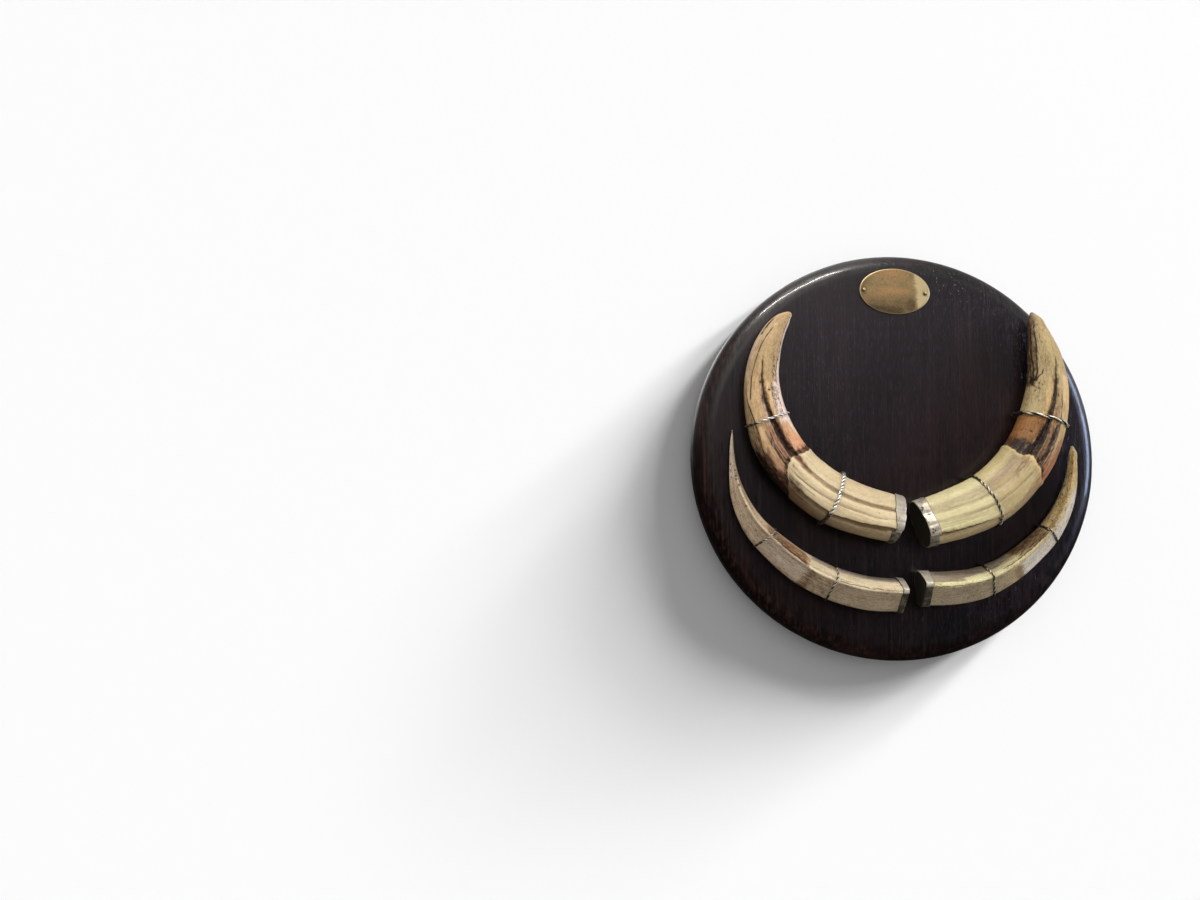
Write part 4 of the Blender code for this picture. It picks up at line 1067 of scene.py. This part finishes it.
def sunk(line, across, height):
    """Lets a taut line sink part of the way into the hollows that it bridges."""
    middle = np.array([across.mean(), height.min()])
    skin = np.stack([across, height], -1) - middle
    order = np.argsort(np.arctan2(skin[:, 1], skin[:, 0]))
    reach = np.interp(np.arctan2(line[:, 1] - middle[1], line[:, 0] - middle[0]),
                      np.arctan2(skin[order, 1], skin[order, 0]), np.hypot(*skin[order].T))
    far = np.hypot(*(line[:, :2] - middle).T)
    shrink = WIRE_SINK * np.clip(far - reach, 0, 4 * MM) / far
    front = smooth(line[:, 1], height.max() * 0.55, height.max() * 0.75)
    line[:, :2] = middle + (line[:, :2] - middle) * (1 - shrink * front)[:, None]
    return line


def wire_route(tusk, inner, outer, radius):
    """A taut wire's middle line from the board over the skin and back down, as evenly spaced points."""
    degrees = np.arange(-42, 202, 1.5)
    share = inner + (outer - inner) * (1 + np.cos(np.radians(degrees))) / 2
    along = share * tusk.length
    lift = relief(tusk, share[:, None], degrees[None, :])[0].diagonal()
    across, forward = tusk.section(along, degrees, lift + radius + 0.05 * MM)
    height = forward - tusk.middle(along)[0][:, 1]
    chain = sunk(evenly(taut(zip(across, height, along)), TAUT_POINTS), across, height)
    feet = chain[[0, -1]]
    feet[:, 1] = BOARD_THICKNESS - WIRE_END_DEPTH
    line = evenly(np.concatenate([feet[:1], chain, feet[1:]]), WIRE_POINTS)
    for _ in range(WIRE_EASING):
        line[1:-1] = (line[:-2] + 2 * line[1:-1] + line[2:]) / 4
    middle, outward = tusk.middle(line[:, 2])
    points = middle + outward * line[:, :1]
    points[:, 1] = -line[:, 1]
    return points


def frame_along(points):
    """Two directions across a line at each of its points."""
    ahead = np.gradient(points, axis=0)
    ahead /= np.linalg.norm(ahead, axis=1, keepdims=True)
    side = np.cross(ahead, (0.31, 0.20, 0.93))
    side /= np.linalg.norm(side, axis=1, keepdims=True)
    return side, np.cross(ahead, side)


def strand_of(line, radius, turns, offset, phase):
    """A tube that winds round a line, as one strand of a twisted pair."""
    side, over = frame_along(line)
    turn = phase + np.linspace(0, 2 * math.pi * turns, len(line))[:, None]
    line = line + offset * (side * np.cos(turn) + over * np.sin(turn))
    side, over = frame_along(line)
    ring = np.linspace(0, 2 * math.pi, WIRE_SIDES, endpoint=False)[:, None]
    return tube(line[:, None] + radius * (side[:, None] * np.cos(ring) + over[:, None] * np.sin(ring)))


def build_wire(tusk, label, material):
    """A pair of strands twisted together."""
    inner, outer, strand, turns, soot = WIRES[tusk.name][label]
    strand *= MM
    line = wire_route(tusk, inner, outer, 1.7 * strand)
    (flat, faces), (other, more) = (strand_of(line, strand, turns, STRANDS_APART * strand, phase)
                                    for phase in (0.0, math.pi))
    faces = np.concatenate([faces, more + len(flat)])
    flat = np.concatenate([flat, other])
    core = np.concatenate([np.repeat(line, WIRE_SIDES, axis=0), line[:1], line[-1:]] * 2)
    skin = np.linalg.norm(flat - core, axis=1) / strand
    height = -flat[:, 1] - BOARD_THICKNESS
    top = height.max()
    ends = np.concatenate([np.repeat(np.linspace(0, 1, len(line)), WIRE_SIDES), [0, 1]] * 2)
    patchy = noise(950 + len(tusk.name + label), ends * 15, ends * 0)
    # The darkening low on the wire, where it goes down to the board, and between its strands is painted shade.
    grime_and_shade = 0.9 * smooth(height, 0.74 * top, 0.50 * top) + smooth(skin, 1.72, 1.10)
    grime_and_shade = grime_and_shade + soot * (0.5 + 0.9 * smooth(patchy, -0.4, 0.5))
    # The upper left wires are also darker at their outer end, over the tusk's shaded outer side: painted shade.
    if tusk.name == "upper_left":
        grime_and_shade = grime_and_shade + 0.9 * smooth(ends, 0.42, 0.35)
    name = "wire_%s_%s" % (tusk.name, label)
    make_piece("silver_" + name, flat, faces, [name], "silver_wire", material,
               {"tarnish": np.minimum(1, grime_and_shade)})


# ---- board, plate and pins

def turned_points(profile, count):
    """A turned skin from (radius, height) rows; its front looks along -Y."""
    angle = np.linspace(0, 2 * math.pi, count, endpoint=False)[None, :]
    radius, height = columns(profile)[:, :, None]
    return stacked(radius * np.cos(angle), -height, radius * np.sin(angle))


def build_board(material):
    profile = [(r, BOARD_THICKNESS) for r in np.linspace(0.004, BOARD_RADIUS - BOARD_ROLL - 0.001, 40)]
    for angle in np.radians(np.linspace(0, 90, 25)):
        profile.append((BOARD_RADIUS - BOARD_ROLL + BOARD_ROLL * math.sin(angle),
                        BOARD_THICKNESS - BOARD_ROLL + BOARD_ROLL * math.cos(angle)))
    profile += [(BOARD_RADIUS, z) for z in np.linspace(BOARD_THICKNESS - BOARD_ROLL, BOARD_BACK_ROUND, 8)[1:]]
    for angle in np.radians(np.linspace(0, 90, 7)[1:]):
        profile.append((BOARD_RADIUS - BOARD_BACK_ROUND * (1 - math.cos(angle)),
                        BOARD_BACK_ROUND * (1 - math.sin(angle))))
    profile += [(r, 0.0) for r in (0.15, 0.08, 0.03, 0.004)]
    points = turned_points(profile, BOARD_ROUND)
    radius, height = columns(profile)[:, :, None]
    angle = np.linspace(0, 360, BOARD_ROUND, endpoint=False)[None, :]
    # small dents and hollows along the rounded edge
    rolled = smooth(radius, BOARD_RADIUS - BOARD_ROLL - 0.004, BOARD_RADIUS - 0.010) * smooth(height, 0.0, 0.004)
    dents = np.minimum(0, noise(31, angle / 4.0, radius * 260 - height * 180) + 0.35) * 0.25 * MM
    dents = dents - 0.10 * MM * (1 + noise(32, angle / 11.25, height * 60))
    outward = stacked(np.cos(np.radians(angle)), -0.6, np.sin(np.radians(angle)))
    points = points + outward * (dents * rolled)[..., None]
    worn = smooth(radius, BOARD_RADIUS - 0.020, BOARD_RADIUS - 0.006) * (0.38 + 0.36 * within(angle, 130, 265, 35))
    values = on_tube(points.shape[:2], worn=worn * smooth(height, -0.001, 0.004),
                     specks=within(angle, 62, 84, 4) * within(radius, 0.150, 0.172, 0.006),
                     face=smooth(radius, BOARD_RADIUS - 0.010, BOARD_RADIUS - 0.022) * smooth(height, 0.020, 0.026))
    make_piece("wood_board", *tube(points), ["board"], "dark_wood", material, values, sharp=50)


# The plate's rings from its middle over the edge to its back: (share of its size, drop over its thickness).
PLATE_RINGS = [(size, 0) for size in (0.02, 0.12, 0.24, 0.36, 0.48, 0.58, 0.68, 0.77, 0.84, 0.89, 0.93)] + [
    (0.96, 0.01), (0.975, 0.04), (0.988, 0.12), (0.996, 0.26), (1.0, 0.5), (1.0, 0.8), (0.99, 1.0), (0.9, 1.0),
    (0.02, 1.0)]


def on_board(x, y):
    """A place on the plate's own face, as X and Z of the whole."""
    return (PLATE_CENTRE[0] + x * math.cos(PLATE_TURN) - y * math.sin(PLATE_TURN),
            PLATE_CENTRE[1] + x * math.sin(PLATE_TURN) + y * math.cos(PLATE_TURN))


def build_plate(material):
    """The bare oval plate: softly dented sheet with a rounded, rubbed edge."""
    angle = np.linspace(0, 2 * math.pi, PLATE_ROUND, endpoint=False)[None, :]
    size, drop = columns(PLATE_RINGS)[:, :, None]
    x = size * np.cos(angle) * PLATE_HALF_LENGTH
    y = size * np.sin(angle) * PLATE_HALF_HEIGHT
    wave = 0.10 * noise(51, x * 90, y * 90) - 0.10
    for side in (-1, 1):
        wave = wave - 0.25 * bell(np.hypot(x - side * PIN_OFFSET, y), 2.4 * MM)
    height = BOARD_THICKNESS + GAP + (1 - drop) * PLATE_THICKNESS + wave * MM * (drop < 0.5)
    across, up = on_board(x, y)
    points = np.stack([across, -height, up], -1)
    spot = smooth((((x - 0.0140) / 0.0052) ** 4 + ((y + 0.0118) / 0.0056) ** 4) ** 0.25, 1.25, 0.70)
    spot = spot * (0.40 + 0.30 * smooth(x, 0.006, 0.016))
    # A dark ring by each pin, set off to its lower left, is a painted shadow of the pin's head.
    pins = sum(np.exp(-(np.hypot(x - side * PIN_OFFSET + 0.0007, y + 0.0007) / (2.0 * MM)) ** 4) for side in (-1, 1))
    patina = np.maximum.reduce([
        spot, 0.80 * smooth(y, -0.0080, -0.0160) * smooth(x, 0.018, 0.004),
        0.42 * smooth(y, 0.002, -0.012) * smooth(x, 0.022, 0.012), 0.45 * smooth(x, -0.022, -0.029),
        0.40 * smooth(size, 0.90, 0.97) * smooth(y, 0.006, -0.004), 0.9 * pins])
    amber = np.maximum.reduce([
        bell(y - 0.0005, 0.0030) * within(x, -0.016, 0.014, 0.006),
        0.7 * within(x, -0.014, 0.008, 0.006) * smooth(y, 0.011, 0.015),
        0.6 * within(x, -0.012, 0.006, 0.005) * smooth(y, -0.0135, -0.0165)])
    # The bright mask is the rubbed edge, and a brighter right end that is a painted highlight.
    bright = np.maximum(0.64 * smooth(x + 0.15 * (y + 0.004), 0.0190, 0.0205) * (1 - spot),
                        0.7 * bell(size - 0.985, 0.012)) * (1 - pins)
    values = on_tube(points.shape[:2], patina=np.clip(patina, 0, 1), bright=bright, amber=amber * (drop < 0.2))
    make_piece("brass_name_plate", *tube(points), ["name_plate"], "brass", material, values, sharp=45)


def build_pins(material):
    seat = BOARD_THICKNESS + PLATE_THICKNESS + 2 * GAP - 0.2 * MM
    foot = BOARD_THICKNESS - PIN_SHANK_DEPTH
    profile = [(0.00008, seat + PIN_HEAD_RISE)]
    profile += [(PIN_HEAD_RADIUS * math.sin(angle), seat + PIN_HEAD_RISE * math.cos(angle))
                for angle in np.radians(np.linspace(8, 90, 9))]
    profile += [(PIN_HEAD_RADIUS * 0.94, seat - 0.15 * MM), (PIN_SHANK_RADIUS, seat - 0.15 * MM),
                (PIN_SHANK_RADIUS, foot + 1.4 * MM), (0.0001, foot + 0.6 * MM)]
    for side, sign in (("left", -1), ("right", 1)):
        points = turned_points(profile, PIN_ROUND)
        across, up = on_board(sign * PIN_OFFSET, 0.0)
        points = points + np.array((across, 0.0, up))
        # Each head's top is lighter, a painted highlight, and the rest of it darker, painted shade.
        bright = np.zeros(points.shape[:2])
        bright[:5] = 0.5
        make_piece("brass_pin_" + side, *tube(points), ["plate_pin_" + side], "brass", material,
                   on_tube(bright.shape, bright=bright, patina=0.6 * (1 - bright * 2)), sharp=45)


# ---- the object

caps_silver = silver_material("silver_worn", (0.635, 0.560, 0.445), (0.038, 0.032, 0.021), 0.30)
bright_wire = silver_material("silver_wire_bright", (0.92, 0.87, 0.78), (0.040, 0.032, 0.024), 0.22)
dull_wire = silver_material("silver_wire_dull", (0.92, 0.82, 0.66), (0.026, 0.020, 0.013), 0.62)
brass = brass_material()
for tusk_name in STATIONS:
    tusk = Tusk(tusk_name)
    build_tusk(tusk)
    build_cap(tusk, caps_silver)
    for wire_label in WIRES[tusk_name]:
        build_wire(tusk, wire_label, bright_wire if tusk_name == "upper_left" else dull_wire)
build_board(wood_material())
build_plate(brass)
build_pins(brass)


# ---- wall, light and camera

WALL_BEHIND = 0.0006        # the wall lies this far behind the board's back
WALL_RINGS = (0.172, 0.25, 0.5, 1.5, 4.0)    # it is open behind the board, so that the back shows from behind
WALL_ROUND = 128
WHITE = (0.93, 0.93, 0.93)


def build_wall():
    """A plain white wall that can be seen through from behind."""
    g = Graph(bpy.data.materials.new("wall_white"))
    g.set({"Base Color": WHITE, "Roughness": 0.9, "Specular IOR Level": 0.1})
    seen = g.node("MixShader", {0: g.node("NewGeometry", output="Backfacing"),
                                1: g.nodes["Principled BSDF"].outputs[0], 2: g.node("BsdfTransparent")})
    g.set({"Surface": seen}, "Material Output")
    points = turned_points([(size, -WALL_BEHIND) for size in WALL_RINGS], WALL_ROUND).reshape(-1, 3)
    wall = make_object("wall", points, net(len(WALL_RINGS), WALL_ROUND), g.owner)
    if wall.data.polygons[0].normal.y > 0:
        wall.data.flip_normals()
    wall.visible_glossy = False
    wall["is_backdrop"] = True
    return wall


def group(name, pieces):
    """A collection that lights can be limited to."""
    made = bpy.data.collections.new(name)
    for piece in pieces:
        made.objects.link(piece)
    return made


def lamp(kind, name, strength, colour, place, towards, only=None, **settings):
    """A light at a place that shines in a direction, on one group only if given."""
    light = bpy.data.lights.new(name, kind)
    light.energy = strength
    light.color = colour
    for key, value in settings.items():
        setattr(light, key, value)
    made = bpy.data.objects.new(name, light)
    made.location = place
    made.rotation_euler = Vector(towards).to_track_quat("-Z", "Y").to_euler()
    bpy.context.scene.collection.objects.link(made)
    if only:
        made.light_linking.receiver_collection = only
    return made


def sun(name, bearing, elevation, spread, strength, colour, only):
    """A far light. Bearing is its direction on the wall from +X towards +Z; elevation is out from the wall."""
    b, e = math.radians(bearing), math.radians(elevation)
    towards = (-math.cos(b) * math.cos(e), math.sin(e), -math.sin(b) * math.cos(e))
    return lamp("SUN", name, strength, colour, (0, 0, 0), towards, only, angle=math.radians(spread))


def panel(name, place, at, size, watts, colour, only=None):
    """A soft rectangular light that shines at a point."""
    return lamp("AREA", name, watts, colour, place, Vector(at) - Vector(place), only, shape="RECTANGLE",
                size=size[0], size_y=size[1])


only_wall = group("only_wall", [build_wall()])
only_pieces = group("only_pieces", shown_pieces())
only_metal = group("only_metal", [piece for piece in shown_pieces() if piece.name.startswith("silver")])
only_ivory = group("only_ivory", [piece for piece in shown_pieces() if piece.name.startswith("ivory")])
only_dark = group("only_dark", [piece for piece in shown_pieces() if not piece.name.startswith("ivory")])

# The wall's light comes in low from the upper right, for the long soft shadow: (bearing, elevation, spread, strength).
for number, rays in enumerate(((33, 22, 10, 1.35), (48, 22, 10, 1.75), (33, 14, 7, 1.30), (48, 14, 7, 1.75),
                               (34, 9, 5, 1.20), (45, 9, 5, 1.50))):
    sun("wall_light_%d" % number, *rays, (1.0, 1.0, 1.0), only_wall)
# The plaque's own light, from the same side and higher, is broad and makes no sharp highlights.
for number, rays in enumerate(((50, 75, 30, 1.95), (355, 30, 20, 0.62), (235, 55, 40, 0.58))):
    sun("key_light_%d" % number, *rays, (1.0, 0.985, 0.96), only_pieces).visible_glossy = False
sun("wall_fill", 30, 70, 120, 0.42, (1.0, 1.0, 1.0), only_wall)
# The metal catches a small high light of its own.
sun("metal_light", 75, 48, 14, 0.60, (1.0, 0.97, 0.92), only_metal)
panel("ceiling_strip", (-0.32, -0.72, 1.50), (-0.1, 0.0, 0.10), (0.95, 0.07), 26.0, (1.0, 0.98, 0.93), only_pieces)
# A cool window at the right, paler and weaker on the ivory.
for name, watts, colour, only in (("side_window", 15.0, (0.58, 0.69, 1.0), only_dark),
                                  ("side_softer", 6.5, (0.95, 0.97, 1.0), only_ivory)):
    panel(name, (1.6, -0.42, 0.22), (0.1, 0.0, 0.0), (0.55, 0.75), watts, colour, only)
panel("behind", (-0.9, 1.5, 0.9), (0, 0, 0), (1.2, 1.2), 45.0, (1, 1, 1)).visible_glossy = False

# The room round it: white to the camera, dim as light, and with one soft bright part in reflections.
world = bpy.data.worlds.new("studio")
sky = Graph(world)
heading = sky.node("SeparateXYZ", {0: sky.node("TexCoord", output="Generated")}).node.outputs
ray = sky.node("LightPath").node.outputs
dim = sky.mix(sky.step(heading["Z"], -0.25, 0.60), (0.110, 0.106, 0.102), (0.300, 0.306, 0.315))
mirrored = sky.times(sky.step(heading["Z"], 0.00, 0.39, 0.014, 1.45), sky.step(heading["Z"], 0.38, 0.64, 1.08, 0.55))
sideways = sky.times(sky.step(heading["X"], -0.72, -0.05, 0.14, 1.0), sky.step(heading["X"], 0.15, 0.47, 1.0, 0.36))
sky.set({"Color": sky.mix(ray["Is Glossy Ray"], dim, sky.times(mirrored, sideways))}, "Background")
shown = sky.node("MixShader", {0: ray["Is Camera Ray"], 1: sky.nodes["Background"].outputs[0],
                               2: sky.node("Background", {"Color": WHITE})})
sky.set({"Surface": shown}, "World Output")
bpy.context.scene.world = world

lens = bpy.data.cameras.new("camera")
lens.lens = 27.0
lens.sensor_width = 36.0
camera = bpy.data.objects.new("camera", lens)
camera.location = (-0.2990, -0.8018, -0.0470)
camera.rotation_euler = (math.radians(93.754), 0, math.radians(-2.743))
bpy.context.scene.collection.objects.link(camera)
bpy.context.scene.camera = camera
bpy.context.scene.view_settings.view_transform = "Standard"
